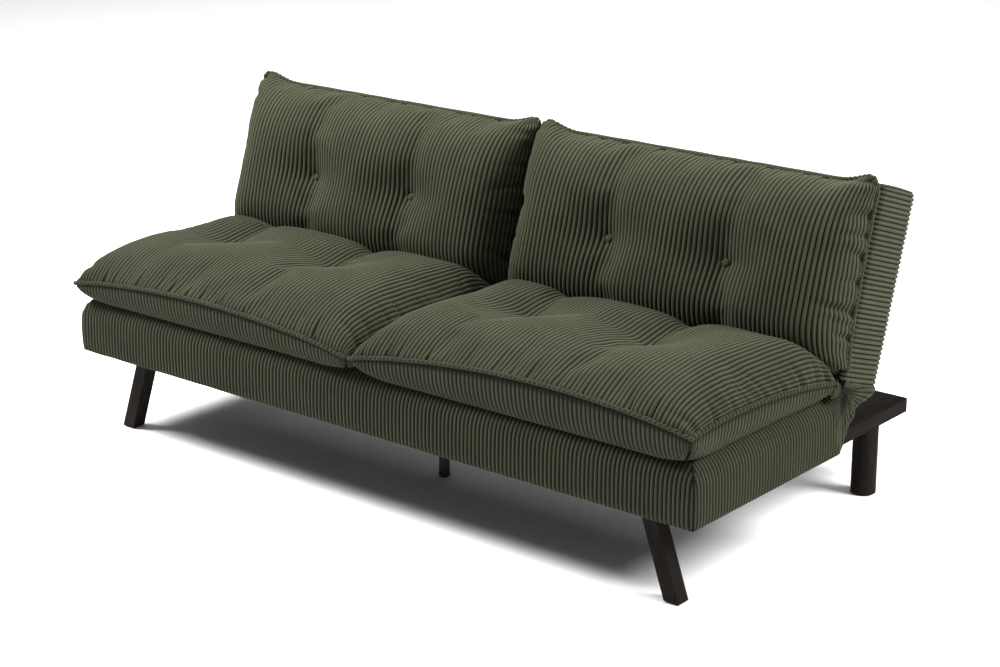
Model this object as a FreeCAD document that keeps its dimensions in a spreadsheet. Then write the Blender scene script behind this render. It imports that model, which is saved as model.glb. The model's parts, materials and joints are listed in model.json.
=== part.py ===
# Click-clack sofa bed: an upholstered seat base on five legs, with a one-piece back that lets down
# to make a bed.
#
# Frame: millimetres, +Z up, X along the sofa, +Y towards the back. The origin is on the floor, under
# the middle of the sofa's overall box. "Left" is the -X side, as seen from in front.
#
# The back's pieces are drawn upright in a frame of their own, whose origin is the hinge line: local
# +Z runs up the back and local +Y points behind it. One placement then leans that frame back by the
# recline angle.
#
# A cutter runs 1 to 5 mm past what it cuts, so that no skin is left at a face.
import os

import FreeCAD
import Part
import Sketcher

doc = FreeCAD.newDocument("sofa_bed")
dims = doc.addObject("Spreadsheet::Sheet", "dims")

SIZES = [
    # seat base
    ("sofa_width", 1800, "overall width of the upholstery"),
    ("base_front", -473.5, "Y of the base's front face"),
    ("base_depth", 557, "seat base, front to back"),
    ("base_bottom", 196, "height of the base's underside"),
    ("base_height", 139, "thickness of the upholstered base"),
    ("base_round", 58, "roundness of the base's padded top edges"),
    ("cover_wall", 3, "corduroy with its lining"),
    ("loose", 0.3, "air between a soft piece and what it sits on"),
    # timber frame
    ("foam_side", 12, "padding over the frame's sides"),
    ("foam_top", 40, "padding over the slats"),
    ("rail_wide", 22, "thickness of the frame's boards"),
    ("rail_tall", 80, "height of the frame's boards"),
    ("rail_lift", 4, "frame's underside above the cover's hem"),
    ("centre_rail_wide", 70, "middle board of the seat frame, laid flat"),
    ("centre_rail_tall", 40, "its height"),
    ("slat_wide", 60, "seat and back slats"),
    ("slat_thick", 12, "seat and back slats"),
    ("slat_inset", 85, "first slat from the end of the sofa"),
    ("block_tall", 40, "blocks that take the legs and arms"),
    ("block_extra", 10, "a front leg's block, longer than its plate"),
    ("dust_thick", 1.4, "black lining under the seat"),
    ("under_gap", 2, "hardware's top above the cover's hem"),
    # hinge line and back
    ("hinge_setback", 9, "hinge line behind the base"),
    ("hinge_drop", 7, "hinge line below the base's top"),
    ("recline", 18, "lean of the back from upright, degrees"),
    ("back_lead", 24, "back's front face ahead of the hinge line"),
    ("back_start", 12, "back's lower end above the hinge line"),
    ("back_length", 437, "back, lower end to top"),
    ("back_round", 30, "roundness of the back's edges"),
    ("rest_gap", 2, "back above the arms when it is flat"),
    ("back_rail_thick", 24, "timber of the back frame"),
    ("back_rail_wide", 60, "timber of the back frame"),
    ("back_pad", 14, "padding around the back frame"),
    ("frame_lift", 8, "back frame above the cover's lower edge"),
    # loose-look cushions
    ("cushion_gap", 3, "between two cushions side by side"),
    ("cushion_high", 115, "crown of a cushion above the face it lies on"),
    ("cushion_foot", 30, "how far a cushion's underside is set in from its seam"),
    ("cushion_crown", 60, "how far its flat crown is set in from its seam"),
    ("seat_seam_high", 30, "seat cushion's seam above the base"),
    ("seat_overhang", 14, "seat cushion's seam ahead of the base"),
    ("seat_rear_seam", 34, "seat cushion's rear seam ahead of the hinge line"),
    ("seat_rear_crown", 112, "rear of its crown ahead of the hinge line"),
    ("back_seam_high", 30, "back cushion's seam ahead of the back"),
    ("back_low_seam", 50, "back cushion's lower seam above the hinge line"),
    ("back_low_crown", 130, "low end of its crown above the hinge line"),
    ("back_top_seam", 13, "back cushion's top seam past the back's top"),
    ("button_span", 310, "between the two tufts of a cushion"),
    ("button_up", 218, "tufts of the back above the hinge line"),
    ("button_width", 20, "covered button"),
    ("button_thick", 7, "covered button"),
    # arms, rear rail, legs
    ("arm_inset", 71, "arm's outer face in from the sofa's end"),
    ("arm_wide", 100, "arm board"),
    ("arm_thick", 35, "arm board"),
    ("arm_under", 230, "length of arm under the seat"),
    ("arm_reach", 395, "arm past the hinge line"),
    ("arm_round", 4, "eased edges of the arm boards"),
    ("rear_rail_wide", 95, "board that joins the arms"),
    ("front_leg_side", 37, "front leg, level section"),
    ("front_leg_inset", 88.5, "centre of its foot in from the sofa's end"),
    ("front_leg_setback", 77, "centre of its foot behind the base's front"),
    ("front_leg_splay", 68, "how far the foot stands out from its top"),
    ("rear_leg_width", 57.6, "round rear leg"),
    ("rear_leg_inset", 101, "its centre in from the sofa's end"),
    ("rear_leg_setback", 131, "its centre ahead of the arm's rear end"),
    ("centre_leg_width", 25, "round middle leg"),
    ("centre_leg_setback", 304, "its centre behind the base's front"),
    ("centre_foot_tall", 12, "plastic foot of the middle leg"),
    ("glide_thick", 3, "plastic glide under a leg"),
    ("plate_thick", 3, "steel mounting plates"),
    ("plate_screw_out", 34.2, "a leg plate's screws, out from its centre"),
    ("leg_plate_side", 90, "mounting plate of a front leg"),
    ("centre_plate_side", 64, "mounting plate of the middle leg"),
    # fasteners
    ("bolt_width", 8, "arm bolts and hanger bolts"),
    ("bolt_hole", 8.4, "holes for them"),
    ("bolt_head", 16, "head of an arm bolt"),
    ("bolt_head_tall", 4, "head of an arm bolt"),
    ("screw_hole", 5.2, "hole for a wood screw"),
    ("screw_head", 9, "head of a wood screw"),
    ("screw_head_tall", 2, "head of a wood screw"),
    ("stud_grip", 24, "hanger bolt's length in the leg"),
    # hinge hardware
    ("hinge_plate_thick", 4, "steel hinge plates"),
    ("hinge_air", 0.5, "between the two hinge plates"),
    ("hinge_room", 3, "air beside the plates in the upholstery"),
    ("hinge_clear", 2, "fixed plate clear of the rear rail"),
    ("hinge_margin", 4, "moving plate's edge in from the stile's"),
    ("hinge_boss", 16, "radius of the fixed plate's eye"),
    ("hinge_pin_width", 12, "hinge pin"),
    ("hinge_pin_play", 0.1, "running play of the pin, on its width"),
    ("hinge_pin_head", 18, "head of the pin"),
    ("ratchet_tip", 17, "radius over the ratchet's teeth"),
    ("ratchet_root", 14.5, "radius between its teeth"),
    ("pawl_pivot_ahead", 26, "pawl's pivot ahead of the hinge line"),
    ("pawl_pivot_below", 16, "pawl's pivot below the hinge line"),
    ("pawl_pin_width", 6, "pawl's pivot"),
    ("pawl_air", 0.8, "between the lifted pawl and the teeth"),
    ("pawl_tip", 2.5, "half the width of the pawl's tip"),
    ("pawl_tail", 2, "half the width of its tail"),
    ("spring_width", 9, "coil spring that presses the pawl"),
    ("spring_long", 4, "its length"),
    ("gusset_thick", 3, "folded fabric at the side of the hinge"),
]
for row, (name, value, meaning) in enumerate(SIZES, start=1):
    dims.set("A%d" % row, name)
    dims.set("B%d" % row, str(value))
    dims.setAlias("B%d" % row, name)
    dims.set("C%d" % row, meaning)
doc.recompute()

# Rules worked out from the sizes, used by more than one piece.
HALF = "dims.sofa_width / 2"
BASE_TOP = "(dims.base_bottom + dims.base_height)"
BASE_REAR = "(dims.base_front + dims.base_depth)"
HINGE_Y = "(dims.base_front + dims.base_depth + dims.hinge_setback)"
HINGE_Z = "(dims.base_bottom + dims.base_height - dims.hinge_drop)"
ARM_TOP = "(dims.base_bottom + dims.under_gap)"
ARM_BOTTOM = "(dims.base_bottom + dims.under_gap - dims.arm_thick)"
ARM_REAR = "(dims.base_front + dims.base_depth + dims.hinge_setback + dims.arm_reach)"
FRAME_BOTTOM = "(dims.base_bottom + dims.rail_lift)"
FRAME_TOP = "(dims.base_bottom + dims.rail_lift + dims.rail_tall)"
SKIN = "(dims.cover_wall + dims.loose)"
FRAME_SIDE = "(dims.sofa_width / 2 - dims.cover_wall - dims.foam_side)"
FRAME_FRONT = "(dims.base_front + dims.cover_wall + dims.foam_side)"
FRAME_REAR = "(dims.base_front + dims.base_depth - dims.cover_wall - dims.foam_side)"
RAIL_INSIDE = "(dims.sofa_width / 2 - dims.cover_wall - dims.foam_side - dims.rail_wide)"
MOVING_INSIDE = "(" + RAIL_INSIDE + " - 2 * dims.hinge_plate_thick - dims.hinge_air)"
MOVING_OUTSIDE = "(" + RAIL_INSIDE + " - dims.hinge_plate_thick - dims.hinge_air)"
# The back is as thick as lets it lie on the arms, level, when it is let down.
BACK_REAR = "(dims.base_height - dims.hinge_drop - dims.under_gap - dims.rest_gap)"
BACK_TOP = "(dims.back_start + dims.back_length)"
SIDES = (("left", -1), ("right", 1))

parts = []


def size(name):
    """A size read back from the sheet, for code that counts or picks edges."""
    return float(dims.get(name))


def part(item, label):
    """Makes a finished object a sub-part of the sofa."""
    item.Label = label
    parts.append(item)
    return item


def times(sign, rule):
    return "-(" + rule + ")" if sign < 0 else rule


def place(item, x="0", y="0", z="0", lean=False):
    """Puts an object at a rule-made place; a leaning one takes the back's recline."""
    if lean:
        item.Placement = FreeCAD.Placement(FreeCAD.Vector(), FreeCAD.Rotation(FreeCAD.Vector(1, 0, 0), -10))
        item.setExpression("Placement.Rotation.Angle", "-dims.recline * 1 deg")
    item.setExpression("Placement.Base.x", x)
    item.setExpression("Placement.Base.y", y)
    item.setExpression("Placement.Base.z", z)
    return item


def on_back(item, x="0"):
    """Puts an object drawn in the back's own frame on the hinge line, leaning."""
    return place(item, x, HINGE_Y, HINGE_Z, lean=True)


def block(name, x, y, z, length, width, height):
    """A box from its low corner."""
    item = doc.addObject("Part::Box", name)
    item.setExpression("Length", length)
    item.setExpression("Width", width)
    item.setExpression("Height", height)
    return place(item, x, y, z)


def side_block(name, sign, x, y, z, length, width, height):
    """A box that runs outwards from x on the side given by sign."""
    start = x if sign > 0 else "-(" + x + ") - (" + length + ")"
    return block(name, start, y, z, length, width, height)


def rod(name, x, y, z, width, height, along="Z"):
    """A cylinder from the centre of its low end."""
    item = doc.addObject("Part::Cylinder", name)
    item.setExpression("Radius", "(" + width + ") / 2")
    item.setExpression("Height", height)
    if along == "X":
        item.Placement = FreeCAD.Placement(FreeCAD.Vector(), FreeCAD.Rotation(FreeCAD.Vector(0, 1, 0), 90))
    if along == "Y":
        item.Placement = FreeCAD.Placement(FreeCAD.Vector(), FreeCAD.Rotation(FreeCAD.Vector(1, 0, 0), -90))
    return place(item, x, y, z)


def group(name, items):
    """Separate solids kept in one object."""
    item = doc.addObject("Part::Compound", name)
    item.Links = items
    return item


def fused(name, items):
    item = doc.addObject("Part::MultiFuse", name)
    item.Shapes = items
    item.Refine = True
    return item


def drilled(name, base, tools):
    """The base with each tool cut away."""
    item = doc.addObject("Part::Cut", name)
    item.Base = base
    item.Tool = tools[0] if len(tools) == 1 else group(name + "_tools", tools)
    return item


def plane(body, role):
    return next(o for o in body.Origin.OriginFeatures if o.Role == role)


def outline(body, name, role, corners, offset=None):
    """A closed sketch of straight lines whose corners are pairs of rules."""
    sketch = body.newObject("Sketcher::SketchObject", name)
    sketch.AttachmentSupport = (plane(body, role), [""])
    sketch.MapMode = "FlatFace"
    if offset:
        sketch.setExpression("AttachmentOffset.Base.z", offset)
    count = len(corners)
    spots = []
    for turn in range(count):
        arm = FreeCAD.Rotation(FreeCAD.Vector(0, 0, 1), 360.0 * turn / count)
        spots.append(arm.multVec(FreeCAD.Vector(100, 0, 0)))
    for turn in range(count):
        sketch.addGeometry(Part.LineSegment(spots[turn], spots[(turn + 1) % count]))
    for turn in range(count):
        sketch.addConstraint(Sketcher.Constraint("Coincident", turn, 2, (turn + 1) % count, 1))
    for turn, (across, up) in enumerate(corners):
        for kind, rule, now in (("DistanceX", across, spots[turn].x), ("DistanceY", up, spots[turn].y)):
            index = sketch.addConstraint(Sketcher.Constraint(kind, -1, 1, turn, 1, now))
            sketch.setExpression("Constraints[%d]" % index, rule)
    return sketch


def circle(body, name, role, across, up, radius):
    """A sketch of one circle."""
    sketch = body.newObject("Sketcher::SketchObject", name)
    sketch.AttachmentSupport = (plane(body, role), [""])
    sketch.MapMode = "FlatFace"
    sketch.addGeometry(Part.Circle(FreeCAD.Vector(1, 1, 0), FreeCAD.Vector(0, 0, 1), 5))
    for kind, rule in (("DistanceX", across), ("DistanceY", up)):
        index = sketch.addConstraint(Sketcher.Constraint(kind, -1, 1, 0, 3, 1.0))
        sketch.setExpression("Constraints[%d]" % index, rule)
    index = sketch.addConstraint(Sketcher.Constraint("Radius", 0, 5.0))
    sketch.setExpression("Constraints[%d]" % index, radius)
    return sketch


def pad(body, sketch, length, middle=False, reverse=False):
    feature = body.newObject("PartDesign::Pad", sketch.Name + "_pad")
    feature.Profile = sketch
    feature.setExpression("Length", length)
    feature.Midplane = middle
    feature.Reversed = reverse
    doc.recompute()
    return feature


def pocket(body, sketch, length, middle=False, reverse=False):
    """Cuts a sketch out of the body, and stops if nothing was cut."""
    doc.recompute()
    before = body.Shape.Volume
    feature = body.newObject("PartDesign::Pocket", sketch.Name + "_pocket")
    feature.Profile = sketch
    feature.setExpression("Length", length)
    feature.Midplane = middle
    feature.Reversed = reverse
    doc.recompute()
    if not body.Shape.Volume < before - 1:
        raise RuntimeError(body.Name + ": " + sketch.Name + " cuts nothing")
    return feature


def rounded(body, base, radius, wanted):
    """Fillets the edges of a feature that pass the test."""
    names = ["Edge%d" % (i + 1) for i, edge in enumerate(base.Shape.Edges) if wanted(edge.BoundBox)]
    feature = body.newObject("PartDesign::Fillet", base.Name + "_round")
    feature.Base = (base, names)
    feature.setExpression("Radius", radius)
    doc.recompute()
    return feature


def rectangle(low_x, low_y, high_x, high_y):
    return [(low_x, low_y), (high_x, low_y), (high_x, high_y), (low_x, high_y)]


def new_body(name):
    return doc.addObject("PartDesign::Body", name)


# ---------------------------------------------------------------- seat frame

for name, y in (("front", FRAME_FRONT), ("rear", FRAME_REAR + " - dims.rail_wide")):
    part(block("seat_%s_rail" % name, "-" + RAIL_INSIDE, y, FRAME_BOTTOM,
               "2 * " + RAIL_INSIDE, "dims.rail_wide", "dims.rail_tall"), "seat_%s_rail" % name)

for side, sign in SIDES:
    part(side_block("seat_%s_rail" % side, sign, RAIL_INSIDE, FRAME_FRONT, FRAME_BOTTOM,
                    "dims.rail_wide", FRAME_REAR + " - " + FRAME_FRONT, "dims.rail_tall"),
         "seat_%s_rail" % side)

INNER_FRONT = "(" + FRAME_FRONT + " + dims.rail_wide)"
INNER_DEPTH = "(" + FRAME_REAR + " - " + FRAME_FRONT + " - 2 * dims.rail_wide)"
part(block("seat_centre_rail", "-dims.centre_rail_wide / 2", INNER_FRONT, FRAME_BOTTOM,
           "dims.centre_rail_wide", INNER_DEPTH, "dims.centre_rail_tall"), "seat_centre_rail")

SEAT_SLATS = 14
BACK_SLATS = 12


def slat_start(index, count):
    """Where a slat begins along the sofa, when count of them are spread evenly."""
    spread = "(dims.sofa_width - 2 * dims.slat_inset - dims.slat_wide)"
    return "%s * %.6f - %s + dims.slat_inset" % (spread, index / (count - 1), HALF)


slats = []
for index in range(SEAT_SLATS):
    slats.append(block("seat_slat_%d" % (index + 1), slat_start(index, SEAT_SLATS), FRAME_FRONT, FRAME_TOP,
                       "dims.slat_wide", FRAME_REAR + " - " + FRAME_FRONT, "dims.slat_thick"))
part(group("seat_slat_set", slats), "seat_slats")

# Blocks inside the frame's corners take the front legs and the arms.
FRONT_LEG_TOP_X = "(" + HALF + " - dims.front_leg_inset - dims.front_leg_splay)"
FRONT_LEG_Y = "(dims.base_front + dims.front_leg_setback)"
ARM_OUT = "(" + HALF + " - dims.arm_inset)"
ARM_IN = "(" + HALF + " - dims.arm_inset - dims.arm_wide)"
ARM_FRONT = "(" + HINGE_Y + " - dims.hinge_setback - dims.arm_under)"
BLOCK_START = "(" + FRONT_LEG_TOP_X + " - dims.leg_plate_side / 2)"
front_blocks = []
arm_blocks = []
arm_bolts = []
hanger_bolts = []
sheet_holes = []


def sheet_hole(name, x, y):
    """A hole in the black lining where a bolt passes."""
    sheet_holes.append(rod(name, x, y, ARM_TOP, "dims.bolt_hole + 2 * dims.loose", "dims.rail_lift"))


for side, sign in SIDES:
    raw = side_block("front_block_%s_raw" % side, sign, BLOCK_START, INNER_FRONT, FRAME_BOTTOM,
                     RAIL_INSIDE + " - " + BLOCK_START, "dims.leg_plate_side + dims.block_extra",
                     "dims.block_tall")
    hole = rod("front_block_%s_hole" % side, times(sign, FRONT_LEG_TOP_X), FRONT_LEG_Y,
               FRAME_BOTTOM + " - 1", "dims.bolt_hole", "dims.block_tall + 2")
    front_blocks.append(drilled("front_block_%s" % side, raw, [hole]))
    hanger_bolts.append(rod("front_stud_%s" % side, times(sign, FRONT_LEG_TOP_X), FRONT_LEG_Y,
                            ARM_TOP + " - dims.plate_thick - dims.stud_grip", "dims.bolt_width",
                            "dims.plate_thick + dims.stud_grip + dims.block_tall"))
    sheet_hole("front_sheet_hole_" + side, times(sign, FRONT_LEG_TOP_X), FRONT_LEG_Y)
part(group("front_block_set", front_blocks), "front_leg_blocks")

BOLT_PLACES = (("a", 0.25), ("b", 0.75))
outer_x = size("sofa_width") / 2 - size("arm_inset")
for side, sign in SIDES:
    raw = side_block("arm_block_%s_raw" % side, sign, ARM_IN, ARM_FRONT, FRAME_BOTTOM,
                     RAIL_INSIDE + " - 3 * dims.hinge_plate_thick - " + ARM_IN,
                     FRAME_REAR + " - dims.rail_wide - " + ARM_FRONT, "dims.block_tall")
    holes = []
    for mark, share in BOLT_PLACES:
        x = times(sign, "(" + ARM_OUT + " - dims.arm_wide / 2)")
        y = ARM_FRONT + " + (dims.arm_under - dims.rail_wide - dims.foam_side) * %.2f" % share
        low = ARM_BOTTOM + " - dims.bolt_head_tall"
        long = "2 * dims.bolt_head_tall + dims.arm_thick + dims.rail_lift + dims.block_tall"
        holes.append(rod("arm_hole_%s_%s" % (side, mark), x, y, low + " - 1", "dims.bolt_hole",
                         long + " + 2"))
        shank = rod("arm_shank_%s_%s" % (side, mark), x, y, low, "dims.bolt_width", long)
        head = rod("arm_head_%s_%s" % (side, mark), x, y, low, "dims.bolt_head", "dims.bolt_head_tall")
        sheet_hole("arm_sheet_hole_%s_%s" % (side, mark), x, y)
        nut_z = FRAME_BOTTOM + " + dims.block_tall"
        nut = rod("arm_nut_%s_%s" % (side, mark), x, y, nut_z, "dims.bolt_head", "dims.bolt_head_tall")
        arm_bolts.append(fused("arm_bolt_%s_%s" % (side, mark), [shank, head, nut]))
    arm_blocks.append(drilled("arm_block_%s" % side, raw, holes))

    # Arm: a board with eased edges, bolted up under the seat and carried by the rear leg.
    arm = new_body(side + "_arm_board")
    board = pad(arm, outline(arm, side + "_arm_plan", "XY_Plane", rectangle(
        times(sign, ARM_IN), ARM_FRONT, times(sign, ARM_OUT), ARM_REAR), ARM_BOTTOM), "dims.arm_thick")
    eased = rounded(arm, board, "dims.arm_round",
                    lambda b: b.XLength < 1 and abs(abs(b.XMin) - outer_x) < 1
                    or b.YLength < 1 and b.ZLength < 1 and b.YMin > 0)
    for mark, share in BOLT_PLACES:
        spot_y = ARM_FRONT + " + (dims.arm_under - dims.rail_wide - dims.foam_side) * %.2f" % share
        spot = circle(arm, "%s_arm_hole_%s" % (side, mark), "XY_Plane",
                      times(sign, "(" + ARM_OUT + " - dims.arm_wide / 2)"), spot_y, "dims.bolt_hole / 2")
        pocket(arm, spot, ARM_TOP + " + 5", reverse=True)
    leg_spot = circle(arm, side + "_arm_leg_hole", "XY_Plane",
                      times(sign, "(" + HALF + " - dims.rear_leg_inset)"),
                      ARM_REAR + " - dims.rear_leg_setback", "dims.bolt_hole / 2")
    pocket(arm, leg_spot, ARM_TOP + " - dims.plate_thick", reverse=True)
    part(arm, side + "_arm")
    hanger_bolts.append(rod("rear_stud_%s" % side, times(sign, "(" + HALF + " - dims.rear_leg_inset)"),
                            ARM_REAR + " - dims.rear_leg_setback", ARM_BOTTOM + " - dims.stud_grip",
                            "dims.bolt_width", "dims.stud_grip + dims.arm_thick - dims.plate_thick - 1"))
part(group("arm_block_set", arm_blocks), "arm_blocks")
part(group("arm_bolt_set", arm_bolts), "arm_bolts")

part(block("rear_rail_board", "-" + ARM_IN, ARM_REAR + " - dims.rear_rail_wide", ARM_BOTTOM,
           "2 * " + ARM_IN, "dims.rear_rail_wide", "dims.arm_thick"), "rear_rail")

# Flat steel plates under each corner of the rear frame hold the rail to the arms.
braces = []
brace_screws = []
for side, sign in SIDES:
    centre_y = ARM_REAR + " - dims.rear_rail_wide / 2"
    raw = block("brace_%s_raw" % side, times(sign, ARM_IN) + " - dims.leg_plate_side / 2",
                centre_y + " - dims.rear_rail_wide * 0.2", ARM_BOTTOM + " - dims.plate_thick",
                "dims.leg_plate_side", "dims.rear_rail_wide * 0.4", "dims.plate_thick")
    holes = []
    for mark, shift in (("in", -1), ("out", 1)):
        x = times(sign, ARM_IN) + " + %d * dims.leg_plate_side / 4" % shift
        holes.append(rod("brace_hole_%s_%s" % (side, mark), x, centre_y,
                         ARM_BOTTOM + " - dims.plate_thick - 1", "dims.screw_hole", "dims.plate_thick + 2"))
        brace_screws.append(rod("brace_screw_%s_%s" % (side, mark), x, centre_y,
                                ARM_BOTTOM + " - dims.plate_thick - dims.screw_head_tall",
                                "dims.screw_head", "dims.screw_head_tall"))
    braces.append(drilled("brace_%s" % side, raw, holes))
part(group("brace_set", braces), "rear_rail_braces")

# ---------------------------------------------------------------- legs

FRONT_LEG_HIGH = "(" + ARM_TOP + " - dims.plate_thick)"
glides = []
plates = []
for side, sign in SIDES:
    foot = "(" + HALF + " - dims.front_leg_inset)"
    half_side = "dims.front_leg_side / 2"
    lean = "dims.front_leg_splay * dims.glide_thick / " + FRONT_LEG_HIGH
    leg = new_body(side + "_front_leg_stock")
    shape = pad(leg, outline(leg, side + "_front_leg_face", "XZ_Plane", [
        (times(sign, foot + " - " + lean + " + " + half_side), "dims.glide_thick"),
        (times(sign, foot + " - " + lean + " - " + half_side), "dims.glide_thick"),
        (times(sign, FRONT_LEG_TOP_X + " - " + half_side), FRONT_LEG_HIGH),
        (times(sign, FRONT_LEG_TOP_X + " + " + half_side), FRONT_LEG_HIGH)]),
        "dims.front_leg_side", middle=True)
    rounded(leg, shape, "dims.plate_thick / 2", lambda b: b.ZLength > 50)
    stud = circle(leg, side + "_front_leg_stud_hole", "XY_Plane", times(sign, FRONT_LEG_TOP_X), "0",
                  "dims.bolt_hole / 2")
    stud.setExpression("AttachmentOffset.Base.z", FRONT_LEG_HIGH)
    pocket(leg, stud, "dims.stud_grip")
    place(leg, y=FRONT_LEG_Y)
    part(leg, side + "_front_leg")
    glides.append(rod("front_glide_" + side, times(sign, foot), FRONT_LEG_Y, "0",
                      "dims.front_leg_side * 0.75", "dims.glide_thick"))

    raw = block("leg_plate_%s_raw" % side, times(sign, FRONT_LEG_TOP_X) + " - dims.leg_plate_side / 2",
                FRONT_LEG_Y + " - dims.leg_plate_side / 2 + dims.foam_side", FRONT_LEG_HIGH,
                "dims.leg_plate_side", "dims.leg_plate_side", "dims.plate_thick")
    bore = rod("leg_plate_%s_bore" % side, times(sign, FRONT_LEG_TOP_X), FRONT_LEG_Y,
               FRONT_LEG_HIGH + " - 1", "dims.bolt_hole", "dims.plate_thick + 2")
    plates.append(drilled("leg_plate_" + side, raw, [bore]))

    turned = rod("rear_leg_%s_stock" % side, times(sign, "(" + HALF + " - dims.rear_leg_inset)"),
                 ARM_REAR + " - dims.rear_leg_setback", "dims.glide_thick", "dims.rear_leg_width",
                 ARM_BOTTOM + " - dims.glide_thick")
    socket = rod("rear_leg_%s_hole" % side, times(sign, "(" + HALF + " - dims.rear_leg_inset)"),
                 ARM_REAR + " - dims.rear_leg_setback", ARM_BOTTOM + " - dims.stud_grip", "dims.bolt_hole",
                 "dims.stud_grip + 1")
    part(drilled("rear_leg_" + side, turned, [socket]), side + "_rear_leg")
    glides.append(rod("rear_glide_" + side, times(sign, "(" + HALF + " - dims.rear_leg_inset)"),
                      ARM_REAR + " - dims.rear_leg_setback", "0", "dims.rear_leg_width * 0.8",
                      "dims.glide_thick"))
part(group("glide_set", glides), "foot_glides")

CENTRE_Y = "(dims.base_front + dims.centre_leg_setback)"
raw = block("centre_plate_raw", "-dims.centre_plate_side / 2", CENTRE_Y + " - dims.centre_plate_side / 2",
            FRONT_LEG_HIGH, "dims.centre_plate_side", "dims.centre_plate_side", "dims.plate_thick")
bore = rod("centre_plate_bore", "0", CENTRE_Y, FRONT_LEG_HIGH + " - 1", "dims.bolt_hole",
           "dims.plate_thick + 2")
plates.append(drilled("centre_plate", raw, [bore]))
part(group("leg_plate_set", plates), "leg_plates")
tube = rod("centre_leg_stock", "0", CENTRE_Y, "dims.centre_foot_tall", "dims.centre_leg_width",
           FRONT_LEG_HIGH + " - dims.centre_foot_tall")
socket = rod("centre_leg_hole", "0", CENTRE_Y, FRONT_LEG_HIGH + " - dims.stud_grip", "dims.bolt_hole",
             "dims.stud_grip + 1")
part(drilled("centre_leg_tube", tube, [socket]), "centre_leg")
hanger_bolts.append(rod("centre_stud", "0", CENTRE_Y, FRONT_LEG_HIGH + " - dims.stud_grip", "dims.bolt_width",
                        "dims.stud_grip + dims.plate_thick + dims.rail_lift / 2"))
sheet_hole("centre_sheet_hole", "0", CENTRE_Y)
part(group("hanger_bolt_set", hanger_bolts), "leg_hanger_bolts")

foot = new_body("centre_foot_stock")
cap = pad(foot, circle(foot, "centre_foot_plan", "XY_Plane", "0", "0",
                       "dims.centre_leg_width / 2 + 1"), "dims.centre_foot_tall")
rounded(foot, cap, "dims.centre_foot_tall / 3", lambda b: b.ZMax < 1)
place(foot, y=CENTRE_Y)
part(foot, "centre_leg_foot")

# Screws of the leg plates: the heads, which stand below the plates.
plate_screws = []
for side, sign in SIDES:
    for mark_x in (-1, 1):
        for mark_y in (-1, 1):
            name = "plate_screw_%s_%d_%d" % (side, mark_x + 1, mark_y + 1)
            x = times(sign, FRONT_LEG_TOP_X) + " + %d * dims.plate_screw_out" % mark_x
            y = FRONT_LEG_Y + " + dims.foam_side + %d * dims.plate_screw_out" % mark_y
            plate_screws.append(rod(name, x, y, FRONT_LEG_HIGH + " - dims.screw_head_tall",
                                    "dims.screw_head", "dims.screw_head_tall"))
part(group("plate_screw_set", plate_screws + brace_screws), "plate_screws")

# ---------------------------------------------------------------- seat upholstery

# Hinge pockets: the fabric and foam are cut away around the hinge plates.
POCKET_IN = "(" + MOVING_INSIDE + " - dims.hinge_plate_thick - dims.hinge_room)"
POCKET_OUT = "(" + RAIL_INSIDE + " + dims.hinge_room)"
# The fixed plate clears the rear rail: it stays ahead of it, then passes over its top.
COVER_REAR = "(-dims.hinge_setback - dims.cover_wall - dims.foam_side)"
RAIL_FACE = "(" + COVER_REAR + " - dims.rail_wide - dims.hinge_clear)"
RAIL_UPPER = "(dims.hinge_drop + dims.rail_lift + dims.rail_tall + dims.hinge_clear - dims.base_height)"
POCKET_LOW = "(" + HINGE_Z + " + " + RAIL_UPPER + " - 2 * dims.hinge_clear)"


def hinge_slots(body, name, corners):
    """Cuts the two hinge pockets, whose side view is given by corners, out of a body."""
    for side, sign in SIDES:
        slot = outline(body, name + "_slot_" + side, "YZ_Plane", corners, times(sign, POCKET_IN))
        pocket(body, slot, POCKET_OUT + " - " + POCKET_IN, reverse=sign > 0)


def upholstered_box(name, inset, radius, low):
    """A padded block over the seat frame, its top edges well rounded."""
    body = new_body(name)
    plan = outline(body, name + "_plan", "XY_Plane", rectangle(
        "-(" + HALF + ") + " + inset, "dims.base_front + " + inset,
        HALF + " - " + inset, BASE_REAR + " - " + inset), low)
    tall = pad(body, plan, BASE_TOP + " - (" + inset + ") - (" + low + ")")
    top = size("base_bottom") + size("base_height")
    rounded(body, tall, radius, lambda b: b.ZLength < 1 and b.ZMin > top - 20)
    return body


foam = upholstered_box("seat_foam_block", SKIN, "dims.base_round - " + SKIN,
                       FRAME_BOTTOM + " + dims.rail_lift")
cavity = outline(foam, "seat_foam_cavity", "XY_Plane", rectangle(
    "-" + FRAME_SIDE + " - dims.loose", FRAME_FRONT + " - dims.loose",
    FRAME_SIDE + " + dims.loose", FRAME_REAR + " + dims.loose"))
pocket(foam, cavity, FRAME_TOP + " + dims.slat_thick + dims.loose", reverse=True)
hinge_slots(foam, "seat_foam", rectangle(FRAME_REAR + " - dims.rail_wide - 2 * dims.hinge_boss", POCKET_LOW,
                                         BASE_REAR + " + 1", BASE_TOP + " + 1"))
part(foam, "seat_foam")

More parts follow.
